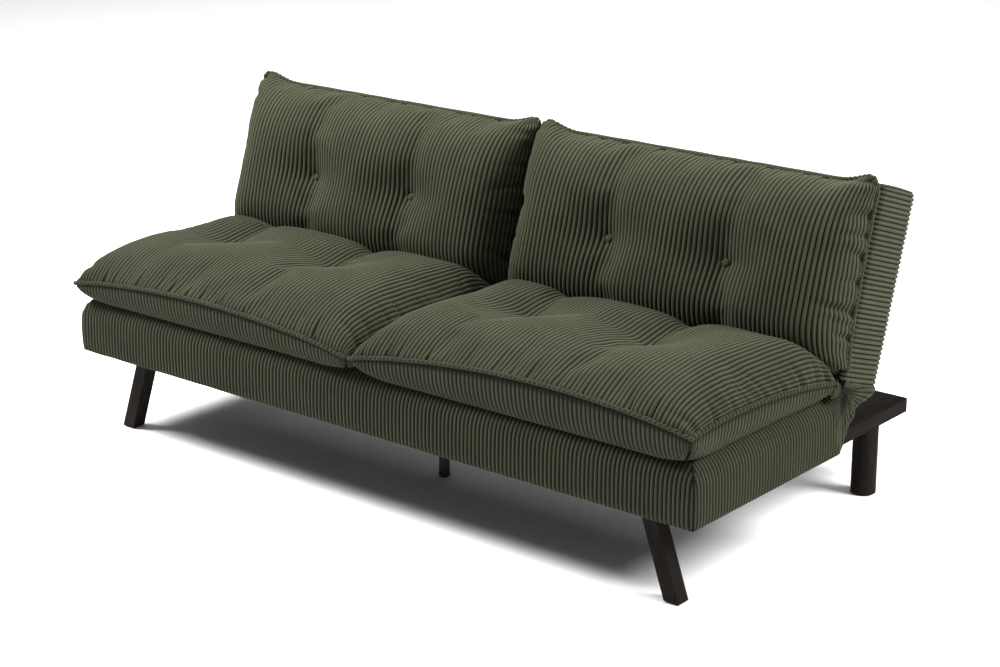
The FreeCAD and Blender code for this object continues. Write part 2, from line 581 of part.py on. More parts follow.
cover = upholstered_box("seat_cover_block", "0", "dims.base_round", "dims.base_bottom")
inside = upholstered_box("seat_cover_inside", "dims.cover_wall", "dims.base_round - dims.cover_wall",
                         "dims.base_bottom - 1")
hollow = drilled("seat_cover_hollow", cover, [inside])
slots = []
for side, sign in SIDES:
    slots.append(side_block("seat_cover_slot_" + side, sign, POCKET_IN, FRAME_REAR + " - dims.rail_wide",
                            POCKET_LOW, POCKET_OUT + " - " + POCKET_IN,
                            "dims.rail_wide + dims.foam_side + dims.cover_wall + 1", "dims.base_height"))
    slots.append(side_block("seat_cover_notch_" + side, sign, ARM_IN + " - 1",
                            BASE_REAR + " - dims.foam_side", "dims.base_bottom - 1", "dims.arm_wide + 2",
                            "2 * dims.foam_side", "dims.under_gap + dims.loose + 1"))
part(drilled("seat_cover_slotted", hollow, slots), "seat_cover")

sheet = block("dust_sheet", "-" + HALF + " + " + SKIN, "dims.base_front + " + SKIN,
              ARM_TOP + " + dims.loose", "dims.sofa_width - 2 * " + SKIN,
              "dims.base_depth - 2 * " + SKIN, "dims.dust_thick")
part(drilled("dust_sheet_cut", sheet, sheet_holes), "seat_dust_cover")


def loft(body, sections):
    """A ruled body through sketches laid one above another."""
    feature = body.newObject("PartDesign::AdditiveLoft", body.Name + "_loft")
    feature.Profile = sections[0]
    feature.Sections = sections[1:]
    feature.Ruled = True
    doc.recompute()
    return feature


for side, sign in SIDES:
    body = new_body(side + "_seat_cushion_form")
    rings = []
    for mark, inset, front, rear, level in (
            ("foot", "dims.cushion_foot", "-dims.seat_overhang + dims.cushion_foot",
             "dims.seat_rear_seam + dims.cushion_foot / 3", "dims.loose"),
            ("seam", "0", "-dims.seat_overhang", "dims.seat_rear_seam", "dims.seat_seam_high"),
            ("crown", "dims.cushion_crown", "-dims.seat_overhang + dims.cushion_crown",
             "dims.seat_rear_crown", "dims.cushion_high")):
        near = times(sign, "(dims.cushion_gap / 2 + " + inset + ")")
        far = times(sign, "(" + HALF + " - " + inset + ")")
        rings.append(outline(body, "%s_seat_%s" % (side, mark), "XY_Plane", rectangle(
            near, "dims.base_front + " + front, far, HINGE_Y + " - (" + rear + ")"),
            BASE_TOP + " + " + level))
    loft(body, rings)
    part(body, side + "_seat_cushion")

# ---------------------------------------------------------------- back frame, in the back's own frame

BACK_IN = "dims.back_pad + dims.cover_wall"
RAIL_LOW = "(dims.back_start + dims.cover_wall + dims.loose)"
FRAME_LOW = "(dims.back_start + dims.cover_wall + dims.loose + dims.frame_lift)"
RAIL_HIGH = "(" + BACK_TOP + " - " + BACK_IN + ")"
RAIL_FRONT = "(-dims.back_lead + dims.foam_top)"
for side, sign in SIDES:
    stile = side_block("back_%s_stile_board" % side, sign, MOVING_OUTSIDE, RAIL_FRONT, FRAME_LOW,
                       HALF + " - " + BACK_IN + " - " + MOVING_OUTSIDE, "dims.back_rail_wide",
                       RAIL_HIGH + " - " + FRAME_LOW)
    part(on_back(group("back_%s_stile_set" % side, [stile])), "back_%s_stile" % side)
for name, low in (("bottom", FRAME_LOW), ("top", RAIL_HIGH + " - dims.back_rail_thick")):
    end = "(" + MOVING_OUTSIDE + " - dims.hinge_plate_thick - 2 * dims.hinge_air)"
    rail = block("back_%s_rail_board" % name, "-" + end, RAIL_FRONT, low, "2 * " + end,
                 "dims.back_rail_wide", "dims.back_rail_thick")
    part(on_back(group("back_%s_rail_set" % name, [rail])), "back_%s_rail" % name)
BETWEEN_LOW = "(" + FRAME_LOW + " + dims.back_rail_thick)"
BETWEEN = "(" + RAIL_HIGH + " - " + FRAME_LOW + " - 2 * dims.back_rail_thick)"
middle = block("back_centre_stile_board", "-dims.back_rail_thick / 2", RAIL_FRONT, BETWEEN_LOW,
               "dims.back_rail_thick", "dims.back_rail_wide", BETWEEN)
part(on_back(group("back_centre_stile_set", [middle])), "back_centre_stile")
slats = []
for index in range(BACK_SLATS):
    slats.append(block("back_slat_%d" % (index + 1), slat_start(index, BACK_SLATS),
                       RAIL_FRONT + " - dims.slat_thick", FRAME_LOW, "dims.slat_wide", "dims.slat_thick",
                       RAIL_HIGH + " - " + FRAME_LOW))
part(on_back(group("back_slat_set", slats)), "back_slats")


def back_box(name, inset, radius, low):
    """A padded block over the back frame, all its edges along X and its ends rounded."""
    body = new_body(name)
    ring = outline(body, name + "_section", "YZ_Plane", rectangle(
        "-dims.back_lead + " + inset, low, BACK_REAR + " - " + inset, BACK_TOP + " - " + inset))
    long = pad(body, ring, "dims.sofa_width - 2 * (" + inset + ")", middle=True)
    bottom = size("back_start") + 10
    rounded(body, long, radius, lambda b: b.ZMin > bottom and (b.XLength > 100 or b.YLength > 50))
    return on_back(body)


BACK_CAVITY = [
    (RAIL_FRONT + " - dims.slat_thick - dims.loose", "dims.back_start - 5"),
    (RAIL_FRONT + " + dims.back_rail_wide + dims.loose", "dims.back_start - 5"),
    (RAIL_FRONT + " + dims.back_rail_wide + dims.loose", RAIL_HIGH + " + dims.loose"),
    (RAIL_FRONT + " - dims.slat_thick - dims.loose", RAIL_HIGH + " + dims.loose"),
]
foam = back_box("back_foam_block", SKIN, "dims.back_round - " + SKIN, RAIL_LOW)
room = outline(foam, "back_foam_cavity", "YZ_Plane", BACK_CAVITY)
pocket(foam, room, "2 * (" + HALF + " - " + BACK_IN + " + dims.loose)", middle=True)
hinge_slots(foam, "back_foam", rectangle("-1.3 * dims.hinge_boss", "0", "3 * dims.hinge_boss",
                                         "1.7 * dims.hinge_boss"))
part(foam, "back_foam")

cover = back_box("back_cover_block", "0", "dims.back_round", "dims.back_start + dims.plate_thick")
inside = back_box("back_cover_inside", "dims.cover_wall", "dims.back_round - dims.cover_wall",
                  "dims.back_start - 5")
part(drilled("back_cover_hollow", cover, [inside]), "back_cover")

sheet = block("back_end_sheet", "-" + HALF + " + " + SKIN, "-dims.back_lead + " + SKIN, "dims.back_start",
              "dims.sofa_width - 2 * " + SKIN, "dims.back_lead + " + BACK_REAR + " - 2 * " + SKIN,
              "dims.plate_thick - dims.loose")
slots = []
for side, sign in SIDES:
    slots.append(side_block("back_end_slot_" + side, sign, POCKET_IN, "-2 * dims.hinge_boss",
                            "dims.back_start - 1", POCKET_OUT + " - " + POCKET_IN, "5 * dims.hinge_boss",
                            "dims.plate_thick + 2"))
part(on_back(drilled("back_end_slotted", sheet, slots)), "back_end_lining")

for side, sign in SIDES:
    body = new_body(side + "_back_cushion_form")
    rings = []
    for mark, inset, low, high, level in (
            ("foot", "dims.cushion_foot", "dims.back_low_seam - dims.cushion_foot / 3",
             BACK_TOP + " + dims.back_top_seam - dims.cushion_foot", "dims.loose"),
            ("seam", "0", "dims.back_low_seam", BACK_TOP + " + dims.back_top_seam", "dims.back_seam_high"),
            ("crown", "dims.cushion_crown", "dims.back_low_crown",
             BACK_TOP + " + dims.back_top_seam - dims.cushion_crown", "dims.cushion_high")):
        near = times(sign, "(dims.cushion_gap / 2 + " + inset + ")")
        far = times(sign, "(" + HALF + " - " + inset + ")")
        rings.append(outline(body, "%s_back_%s" % (side, mark), "XZ_Plane", rectangle(near, low, far, high),
                             "dims.back_lead + " + level))
    loft(body, rings)
    on_back(body)
    part(body, side + "_back_cushion")

# Covered buttons, one at each tuft of the back cushions, standing on the crown.
buttons = []
for side, sign in SIDES:
    for mark, step in (("in", -1), ("out", 1)):
        x = times(sign, "(dims.sofa_width / 4 + %d * dims.button_span / 2)" % step)
        buttons.append(rod("button_%s_%s" % (side, mark), x,
                           "-dims.back_lead - dims.cushion_high - dims.button_thick", "dims.button_up",
                           "dims.button_width", "dims.button_thick - dims.loose", along="Y"))
part(on_back(group("button_set", buttons)), "back_buttons")

# ---------------------------------------------------------------- hinge hardware

TEETH = 20
screws_seat = []
screws_back = []
pawl_pins = []
pawl_springs = []
EYE = "dims.hinge_boss"
PLATE_TOP = "11 * dims.hinge_boss"
STILE_NEAR = RAIL_FRONT + " + dims.hinge_margin"
STILE_FAR = RAIL_FRONT + " + dims.back_rail_wide - dims.hinge_margin"
PLATE_LOW = "(dims.hinge_drop + dims.rail_lift + dims.rail_tall / 4 - dims.base_height)"
PLATE_MIDDLE = "(dims.hinge_drop + dims.rail_lift + dims.rail_tall * 0.6 - dims.base_height)"
for side, sign in SIDES:
    # Fixed plate: screwed to the seat's side rail, with an eye on the hinge line.
    plate = new_body(side + "_fixed_plate_form")
    pad(plate, outline(plate, side + "_fixed_profile", "YZ_Plane", [
        ("-9 * " + EYE, PLATE_LOW), (RAIL_FACE, PLATE_LOW), (RAIL_FACE, RAIL_UPPER),
        (COVER_REAR, RAIL_UPPER),
        (EYE, "-0.2 * " + EYE), (EYE, "0.2 * " + EYE), ("0.7 * " + EYE, "0.7 * " + EYE),
        ("-0.7 * " + EYE, "0.7 * " + EYE), ("-2.6 * " + EYE, "-0.9 * " + EYE),
        (RAIL_FACE + " - " + EYE, RAIL_UPPER), ("-9 * " + EYE, RAIL_UPPER)]),
        "dims.hinge_plate_thick", reverse=sign > 0)
    pocket(plate, circle(plate, side + "_fixed_eye", "YZ_Plane", "0", "0", "dims.hinge_pin_width / 2"),
           "dims.hinge_plate_thick", reverse=sign < 0)
    pocket(plate, circle(plate, side + "_fixed_pawl_eye", "YZ_Plane", "-dims.pawl_pivot_ahead",
                         "-dims.pawl_pivot_below", "dims.pawl_pin_width / 2"),
           "dims.hinge_plate_thick", reverse=sign < 0)
    for number, across in enumerate(("-8 * " + EYE, "-6 * " + EYE, "-4 * " + EYE)):
        hole = circle(plate, "%s_fixed_hole_%d" % (side, number), "YZ_Plane", across, PLATE_MIDDLE,
                      "dims.screw_hole / 2")
        pocket(plate, hole, "dims.hinge_plate_thick", reverse=sign < 0)
        head_x = RAIL_INSIDE + " - dims.hinge_plate_thick - dims.screw_head_tall"
        start = head_x if sign > 0 else "-(" + RAIL_INSIDE + " - dims.hinge_plate_thick)"
        screws_seat.append(rod("seat_screw_%s_%d" % (side, number), start, HINGE_Y + " + " + across,
                               HINGE_Z + " + " + PLATE_MIDDLE, "dims.screw_head", "dims.screw_head_tall",
                               along="X"))
    place(plate, times(sign, RAIL_INSIDE), HINGE_Y, HINGE_Z)
    part(plate, side + "_hinge_fixed_plate")

    # Moving plate: screwed to the back's stile, with ratchet teeth around its eye.
    plate = new_body(side + "_moving_plate_form")
    teeth = []
    for tooth in range(TEETH):
        for radius, turn in (("dims.ratchet_tip", tooth), ("dims.ratchet_root", tooth + 0.35)):
            angle = "%.2f deg" % (360.0 * turn / TEETH)
            teeth.append((radius + " * cos(" + angle + ")", radius + " * sin(" + angle + ")"))
    pad(plate, outline(plate, side + "_ratchet", "YZ_Plane", teeth), "dims.hinge_plate_thick",
        reverse=sign < 0)
    pad(plate, outline(plate, side + "_moving_profile", "YZ_Plane", [
        ("0", "0.6 * " + EYE), (STILE_NEAR, "0"), (STILE_FAR, FRAME_LOW + " + dims.hinge_margin"),
        (STILE_FAR, PLATE_TOP), (STILE_NEAR, PLATE_TOP), (STILE_NEAR, "1.7 * " + EYE)]),
        "dims.hinge_plate_thick", reverse=sign < 0)
    pocket(plate, circle(plate, side + "_moving_eye", "YZ_Plane", "0", "0",
                         "(dims.hinge_pin_width + dims.hinge_pin_play) / 2"),
           "dims.hinge_plate_thick", reverse=sign > 0)
    for number, up in enumerate(("4 * " + EYE, "7 * " + EYE, "10 * " + EYE)):
        hole = circle(plate, "%s_moving_hole_%d" % (side, number), "YZ_Plane",
                      RAIL_FRONT + " + dims.back_rail_wide / 2", up, "dims.screw_hole / 2")
        pocket(plate, hole, "dims.hinge_plate_thick", reverse=sign > 0)
        start = (MOVING_INSIDE + " - dims.screw_head_tall") if sign > 0 else "-" + MOVING_INSIDE
        screws_back.append(rod("back_screw_%s_%d" % (side, number), start,
                               RAIL_FRONT + " + dims.back_rail_wide / 2", up, "dims.screw_head",
                               "dims.screw_head_tall", along="X"))
    on_back(plate, times(sign, MOVING_INSIDE))
    part(plate, side + "_hinge_moving_plate")

    # Pin: pressed into the fixed plate, running in the moving plate, headed inboard.
    start = MOVING_INSIDE + " - dims.hinge_plate_thick"
    long = RAIL_INSIDE + " - (" + start + ")"
    shank = rod("hinge_shank_" + side, times(sign, "(" + start + ")") if sign > 0 else "-" + RAIL_INSIDE,
                HINGE_Y, HINGE_Z, "dims.hinge_pin_width", long, along="X")
    head_long = "dims.hinge_plate_thick - dims.hinge_air"
    head_x = "(" + start + ")" if sign > 0 else "-(" + start + ") - (" + head_long + ")"
    head = rod("hinge_head_" + side, head_x, HINGE_Y, HINGE_Z, "dims.hinge_pin_head", head_long, along="X")
    part(fused("hinge_pin_" + side, [shank, head]), side + "_hinge_pin")

    # Pawl: a small lever beside the teeth, drawn about its own pivot.
    pawl = new_body(side + "_pawl_form")
    reach = "(sqrt(dims.pawl_pivot_ahead^2 + dims.pawl_pivot_below^2) - dims.ratchet_tip - dims.pawl_air)"
    aim = "(atan2(dims.pawl_pivot_below; dims.pawl_pivot_ahead))"
    pad(pawl, outline(pawl, side + "_pawl_profile", "YZ_Plane", [
        (reach, "-dims.pawl_tip"), (reach, "dims.pawl_tip"), ("dims.pawl_pin_width", "dims.pawl_pin_width"),
        ("-dims.pawl_pin_width", "dims.pawl_pin_width"), ("-2.6 * dims.pawl_pin_width", "dims.pawl_tail"),
        ("-2.6 * dims.pawl_pin_width", "-dims.pawl_tail"), ("-dims.pawl_pin_width", "-dims.pawl_pin_width"),
        ("dims.pawl_pin_width", "-dims.pawl_pin_width")]), "dims.hinge_plate_thick", reverse=sign < 0)
    pocket(pawl, circle(pawl, side + "_pawl_eye", "YZ_Plane", "0", "0",
                        "(dims.pawl_pin_width + dims.hinge_pin_play) / 2"),
           "dims.hinge_plate_thick", reverse=sign > 0)
    pawl.Placement = FreeCAD.Placement(FreeCAD.Vector(), FreeCAD.Rotation(FreeCAD.Vector(1, 0, 0), 30))
    pawl.setExpression("Placement.Rotation.Angle", aim)
    place(pawl, times(sign, MOVING_INSIDE), HINGE_Y + " - dims.pawl_pivot_ahead",
          HINGE_Z + " - dims.pawl_pivot_below")
    part(pawl, side + "_pawl")

    # Torsion spring on the inboard end of the pawl's pin.
    coil_x = MOVING_INSIDE + " - dims.spring_long" if sign > 0 else "-" + MOVING_INSIDE
    coil_x = coil_x + " - dims.loose" if sign > 0 else coil_x + " + dims.loose"
    coil_y = HINGE_Y + " - dims.pawl_pivot_ahead"
    coil_z = HINGE_Z + " - dims.pawl_pivot_below"
    wound = rod("spring_%s_coil" % side, coil_x, coil_y, coil_z, "dims.spring_width", "dims.spring_long",
                along="X")
    core = rod("spring_%s_core" % side, coil_x + " - 1", coil_y, coil_z,
               "dims.pawl_pin_width + dims.hinge_pin_play", "dims.spring_long + 2", along="X")
    pawl_springs.append(drilled("spring_" + side, wound, [core]))

    pin_long = RAIL_INSIDE + " - " + MOVING_INSIDE + " + dims.spring_long + dims.loose"
    pin_x = MOVING_INSIDE + " - dims.spring_long - dims.loose" if sign > 0 else "-" + RAIL_INSIDE
    pawl_pins.append(rod("pawl_pin_" + side, pin_x, HINGE_Y + " - dims.pawl_pivot_ahead",
                         HINGE_Z + " - dims.pawl_pivot_below", "dims.pawl_pin_width", pin_long, along="X"))

part(group("pawl_pin_set", pawl_pins), "pawl_pins")
part(group("pawl_spring_set", pawl_springs), "pawl_springs")
part(group("hinge_screw_seat_set", screws_seat), "hinge_screws_seat")
part(on_back(group("hinge_screw_back_set", screws_back)), "hinge_screws_back")

# ---------------------------------------------------------------- folded fabric beside the hinge

# Each gusset closes the wedge between the base's rear face and the back's lower end, inside the sofa's ends.
LEAN_Y = "sin(dims.recline * 1 deg)"
LEAN_Z = "cos(dims.recline * 1 deg)"


def below_back(behind):
    """A point a little under the back's lower end, given how far it lies behind the hinge line."""
    up = "(dims.back_start - dims.loose)"
    return ("(" + behind + ") * " + LEAN_Z + " + " + up + " * " + LEAN_Y,
            up + " * " + LEAN_Z + " - (" + behind + ") * " + LEAN_Y)


for side, sign in SIDES:
    fold = new_body(side + "_gusset_form")
    pad(fold, outline(fold, side + "_gusset_profile", "YZ_Plane", [
        ("-dims.hinge_setback + dims.loose", "dims.hinge_drop - dims.base_height + dims.foam_side"),
        ("dims.hinge_boss", "-4 * dims.hinge_boss"),
        (BACK_REAR + " * 0.42", "-2.5 * dims.hinge_boss"),
        below_back(BACK_REAR + " - dims.back_round / 2"),
        below_back("-dims.hinge_setback / 2")]), "dims.gusset_thick", reverse=sign > 0)
    place(fold, times(sign, HALF + " - " + SKIN), HINGE_Y, HINGE_Z)
    part(fold, side + "_hinge_gusset")

# ---------------------------------------------------------------- check and write

doc.recompute()
faults = []
for item in doc.Objects:
    if "Invalid" in item.State or "Error" in item.State:
        faults.append("%s (%s): %s" % (item.Name, item.Label, item.State))
for item in parts:
    if item.Shape.isNull() or not item.Shape.isValid() or not item.Shape.Solids:
        faults.append(item.Label + ": bad shape")
if faults:
    raise RuntimeError("; ".join(faults))
os.makedirs("parts", exist_ok=True)
for item in parts:
    item.Shape.exportStep("parts/%s.step" % item.Label)
    box = item.Shape.BoundBox
    print("%-26s %2d solids  x %8.1f %8.1f  y %8.1f %8.1f  z %7.1f %7.1f" % (
        item.Label, len(item.Shape.Solids), box.XMin, box.XMax, box.YMin, box.YMax, box.ZMin, box.ZMax))
print(len(parts), "sub-parts")
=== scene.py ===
# %% [markdown]
# # Click-clack futon sofa bed
# The frame, legs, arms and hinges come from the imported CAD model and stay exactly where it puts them. This lesson
# makes what a CAD solid can't show: corduroy with every wale as real relief, stuffed cushions, rope-like seams,
# tufts, the wrinkled gussets at the hinges, and a finish for every wood, metal and plastic part.

# %% Load the frame
import json
import math

import bpy
import numpy as np
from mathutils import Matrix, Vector


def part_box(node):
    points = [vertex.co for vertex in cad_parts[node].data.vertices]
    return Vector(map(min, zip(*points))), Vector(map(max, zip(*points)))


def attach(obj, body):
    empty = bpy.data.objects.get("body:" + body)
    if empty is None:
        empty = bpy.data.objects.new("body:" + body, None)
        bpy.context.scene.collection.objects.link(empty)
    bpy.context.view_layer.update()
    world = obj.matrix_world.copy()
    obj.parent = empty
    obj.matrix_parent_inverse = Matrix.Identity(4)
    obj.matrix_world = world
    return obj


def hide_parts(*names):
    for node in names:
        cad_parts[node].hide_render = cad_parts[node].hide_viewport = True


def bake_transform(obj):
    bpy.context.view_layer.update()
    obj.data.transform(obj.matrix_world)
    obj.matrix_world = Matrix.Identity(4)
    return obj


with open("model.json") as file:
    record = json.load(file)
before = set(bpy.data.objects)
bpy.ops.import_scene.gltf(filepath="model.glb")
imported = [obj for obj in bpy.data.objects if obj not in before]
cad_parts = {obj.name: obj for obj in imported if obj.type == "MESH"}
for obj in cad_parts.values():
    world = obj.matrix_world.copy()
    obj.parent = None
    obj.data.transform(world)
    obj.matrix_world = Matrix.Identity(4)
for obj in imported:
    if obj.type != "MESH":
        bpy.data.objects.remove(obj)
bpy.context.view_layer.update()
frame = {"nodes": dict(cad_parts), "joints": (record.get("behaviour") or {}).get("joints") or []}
scene = bpy.context.scene

# %% [markdown]
# ## Sizes that the soft pieces share
# Every size is read from the CAD nodes, so that the fabric goes where the frame is. The back has its own axes: a runs
# up the panel and b runs out of its rear face, both from the hinge line, and the panel leans back by LEAN.

# %% Read the sizes
MM = 0.001
hinge = next(j for j in frame["joints"] if j["name"] == "back_recline")
HINGE_Y, HINGE_Z = hinge["pos_m"][1], hinge["pos_m"][2]
LEAN = math.radians(18)
UP = np.array([0, math.sin(LEAN), math.cos(LEAN)])
REAR = np.array([0, math.cos(LEAN), -math.sin(LEAN)])
base_low, base_high = (np.array(p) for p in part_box("seat_cover"))
HALF = float(base_high[0])
print("base", np.round(base_low, 4), np.round(base_high, 4), "hinge", HINGE_Y, HINGE_Z)


def on_back(points):
    """Points as (across, up the panel, out of its front face) to the row frame, with the back upright."""
    p = np.asarray(points, float)
    out = p[..., :1] * np.array([1.0, 0, 0]) + p[..., 1:2] * UP - p[..., 2:3] * REAR
    return out + np.array([0, HINGE_Y, HINGE_Z])


# %% [markdown]
# ## Mesh helpers
# Fabric panels are grids of points. A few lines of array code join the grids where panels are sewn, drop the quads
# that a mitred corner squeezes to nothing, and give the surface direction at each point. The wales then stand out
# along that direction, which keeps them even wherever the panel bends.

# %% Grids, welding and normals
def grid_faces(rows, cols, start=0):
    i = np.arange(rows * cols).reshape(rows, cols) + start
    return np.stack([i[:-1, :-1], i[:-1, 1:], i[1:, 1:], i[1:, :-1]], -1).reshape(-1, 4)


def two_skins(rows, cols):
    """Quads of a grid, of a second grid behind it and of the wall between their rims. Returns them and the rim."""
    n = rows * cols
    i = np.arange(n).reshape(rows, cols)
    rim = np.concatenate([i[0, :-1], i[:-1, -1], i[-1, :0:-1], i[:0:-1, 0]])
    after = np.roll(rim, -1)
    wall = np.stack([rim, rim + n, after + n, after], -1)
    return np.concatenate([grid_faces(rows, cols), grid_faces(rows, cols, n)[:, ::-1], wall]), rim


def weld(points, quads, values, tol=0.04 * MM):
    """Merges points at the same place. values are kept at their smallest, so that a sewn edge is a valley, in relief
    and in the painted valley shade.
    """
    key = np.round(points / tol).astype(np.int64)
    _, first, back = np.unique(key, axis=0, return_index=True, return_inverse=True)
    back = back.reshape(-1)
    low = np.full(len(first), np.inf)
    np.minimum.at(low, back, values)
    q = back[quads]
    same = (np.roll(q, 1, axis=1) == q)
    keep = same.sum(1) <= 1
    return points[first], q[keep], low


def surface_normals(points, quads):
    a, b, c, d = (points[quads[:, k]] for k in range(4))
    n = np.cross(c - a, d - b)
    out = np.zeros_like(points)
    for k in range(4):
        np.add.at(out, quads[:, k], n)
    return out / np.maximum(np.linalg.norm(out, axis=1, keepdims=True), 1e-12)


def mesh_piece(name, points, quads, attributes=None):
    mesh = bpy.data.meshes.new(name)
    faces = [list(dict.fromkeys(q)) for q in quads.tolist()]
    mesh.from_pydata(points.tolist(), [], faces)
    mesh.polygons.foreach_set("use_smooth", [True] * len(mesh.polygons))
    for key, value in (attributes or {}).items():
        mesh.attributes.new(key, "FLOAT", "POINT").data.foreach_set("value", np.asarray(value, np.float32))
    mesh.update()
    piece = bpy.data.objects.new(name, mesh)
    scene.collection.objects.link(piece)
    return piece


def smooth01(x):
    x = np.clip(x, 0, 1)
    return x * x * (3 - 2 * x)


def round_corners(x, y, half_x, half_y, corner, centre=(0, 0), soft=1, where=True):
    """Draws the corners of a rectangle in, seen from above. soft is how far, from 0 for not at all to 1."""
    cx, cy = centre
    qx, qy = np.abs(x - cx) - (half_x - corner), np.abs(y - cy) - (half_y - corner)
    inside = (qx > 0) & (qy > 0) & where
    s = np.where(inside, np.maximum(qx, qy) / np.maximum(np.hypot(qx, qy), 1e-9), 1)
    s = 1 - soft + soft * s
    x = np.where(inside, cx + np.sign(x - cx) * (half_x - corner + qx * s), x)
    y = np.where(inside, cy + np.sign(y - cy) * (half_y - corner + qy * s), y)
    return x, y


# %% [markdown]
# ## One wale of the corduroy
# Wide-wale corduroy is a row of plump cords with a narrow, sharp valley between them. A sine would look like
# corrugated iron, so the section here is a flattened circle: steep at the valley and nearly level on top. The pile
# height also wanders a little along the cord, because pile never lies quite even.

# %% The section of a wale
WALE = 10.55 * MM
PILE = 3.6 * MM
COLS = 5  # mesh columns to one wale


def wale_section(phase):
    x = np.abs(2 * (phase - np.floor(phase)) - 1)
    return np.maximum(1 - x ** 2.2, 0) ** 0.6


def pile_wander(s, t, seed=0):
    """Slow unevenness of the pile, from -1 to 1, from a few fixed waves."""
    r = np.random.default_rng(seed)
    out = np.zeros(np.broadcast(s, t).shape)
    for _ in range(7):
        fs, ft, p = r.uniform(8, 60), r.uniform(8, 60), r.uniform(0, 6.28)
        out = out + np.sin(fs * s + ft * t + p)
    return out / 3.5


print("wale pitch", WALE, "m, pile", PILE, "m")


# %% [markdown]
# ## Upholstered boxes
# The seat base and the back are foam boxes with corduroy pulled round them. On the real ones the cords run round each
# edge, so a strip is laid on each of the four sides, and neighbouring strips meet in a mitred seam at the corner.
# One helper makes both boxes: it carries a section, from the hem to the middle of the top, round the rectangle.

# %% Strips with mitred corners
CORNER = 12 * MM


def strips(half_x, y0, y1, section, counts=None):
    """section is a list of (inset, height). Returns points, quads and how far each point stands up its wale."""
    cy, ly = (y0 + y1) / 2, (y1 - y0) / 2
    section = np.array(section)
    inset, height = section[:, 0][:, None], section[:, 1][:, None]
    points, quads, rise, start = [], [], [], 0
    for side in range(4):
        half, depth = (half_x, ly) if side % 2 == 0 else (ly, half_x)
        wales = counts[side % 2] if counts else int(round(2 * half / WALE))
        t = np.linspace(-half, half, wales * COLS + 1)[None, :]
        room = half - np.minimum(inset, min(half_x, ly))
        along = np.clip(t, -room, room)
        out = depth - np.minimum(inset, min(half_x, ly))
        turn = [(1, 0, 0, -1), (0, 1, 1, 0), (-1, 0, 0, 1), (0, -1, -1, 0)][side]
        x = turn[0] * along + turn[2] * out + 0 * t
        y = turn[1] * along + turn[3] * out + 0 * t
        z = height + 0 * t
        phase = (t + half) / (2 * half) * wales
        edge = room - np.abs(t)
        # near each mitred corner the wale fades to 0, which also paints the seam with the nearly black valley shade
        fade = smooth01((edge + 1 * MM) / (5 * MM))
        value = wale_section(phase + 0 * inset) * fade
        x, y = round_corners(x, y, half_x, ly, CORNER)
        points.append(np.stack([x, y + cy, z], -1).reshape(-1, 3))
        quads.append(grid_faces(len(section), t.shape[1], start))
        rise.append(value.reshape(-1))
        start += points[-1].shape[0]
    return np.concatenate(points), np.concatenate(quads), np.concatenate(rise)


def raised(name, points, quads, rise, pile=4.2 * MM, seed=1, sunk=0.45):
    """Welds the panels and lifts every wale along the surface. sunk is the share of the pile below the panel."""
    points, quads, rise = weld(points, quads, rise)
    n = surface_normals(points, quads)
    wander = 1 + 0.1 * pile_wander(points[:, 0] * 1.3 + points[:, 2], points[:, 1] + points[:, 2] * 0.6, seed)
    points = points + n * (pile * (rise * wander - sunk))[:, None]
    return mesh_piece(name, points, quads, {"wale": rise})


# %% [markdown]
# ## Materials
# Each finish is a small tree of nodes on Principled BSDF. Patterns read Object coordinates, or the wale attribute that
# the fabric meshes carry, so they stay on the piece as it moves. Numbers that are the same all over sit on the
# shader's own sockets.

# %% Material helpers
def new_material(name):
    m = bpy.data.materials.new(name)
    m.use_nodes = True
    nodes, links = m.node_tree.nodes, m.node_tree.links
    nodes.clear()
    out = nodes.new("ShaderNodeOutputMaterial")
    shader = nodes.new("ShaderNodeBsdfPrincipled")
    links.new(shader.outputs["BSDF"], out.inputs["Surface"])
    coord = nodes.new("ShaderNodeTexCoord").outputs["Object"]
    return m, nodes, links, shader, coord


def settle(node, values):
    for key, value in values.items():
        node.inputs[key].default_value = value


def noise(nodes, links, coord, scale, detail=3.0, stretch=None, rough=0.55):
    if stretch:
        mapping = nodes.new("ShaderNodeMapping")
        mapping.inputs["Scale"].default_value = stretch
        links.new(coord, mapping.inputs["Vector"])
        coord = mapping.outputs["Vector"]
    n = nodes.new("ShaderNodeTexNoise")
    settle(n, {"Scale": scale, "Detail": detail, "Roughness": rough})
    links.new(coord, n.inputs["Vector"])
    return n.outputs["Fac"]


def ramp(nodes, links, value, stops):
    r = nodes.new("ShaderNodeValToRGB")
    while len(r.color_ramp.elements) < len(stops):
        r.color_ramp.elements.new(0.5)
    for e, (pos, colour) in zip(r.color_ramp.elements, stops):
        e.position = pos
        e.color = (*colour, 1)
    links.new(value, r.inputs["Fac"])
    return r.outputs["Color"]


def multiply(nodes, links, a, b, factor):
    n = nodes.new("ShaderNodeMix")
    n.data_type, n.blend_type = "RGBA", "MULTIPLY"
    n.inputs["Factor"].default_value = factor
    links.new(a, n.inputs["A"])
    links.new(b, n.inputs["B"])
    return n.outputs["Result"]


def level(nodes, links, value, low, high):
    n = nodes.new("ShaderNodeMapRange")
    settle(n, {"To Min": low, "To Max": high})
    links.new(value, n.inputs["Value"])
    return n.outputs["Result"]


def bump(nodes, links, shader, height, strength, distance):
    b = nodes.new("ShaderNodeBump")
    settle(b, {"Strength": strength, "Distance": distance})
    links.new(height, b.inputs["Height"])
    links.new(b.outputs["Normal"], shader.inputs["Normal"])
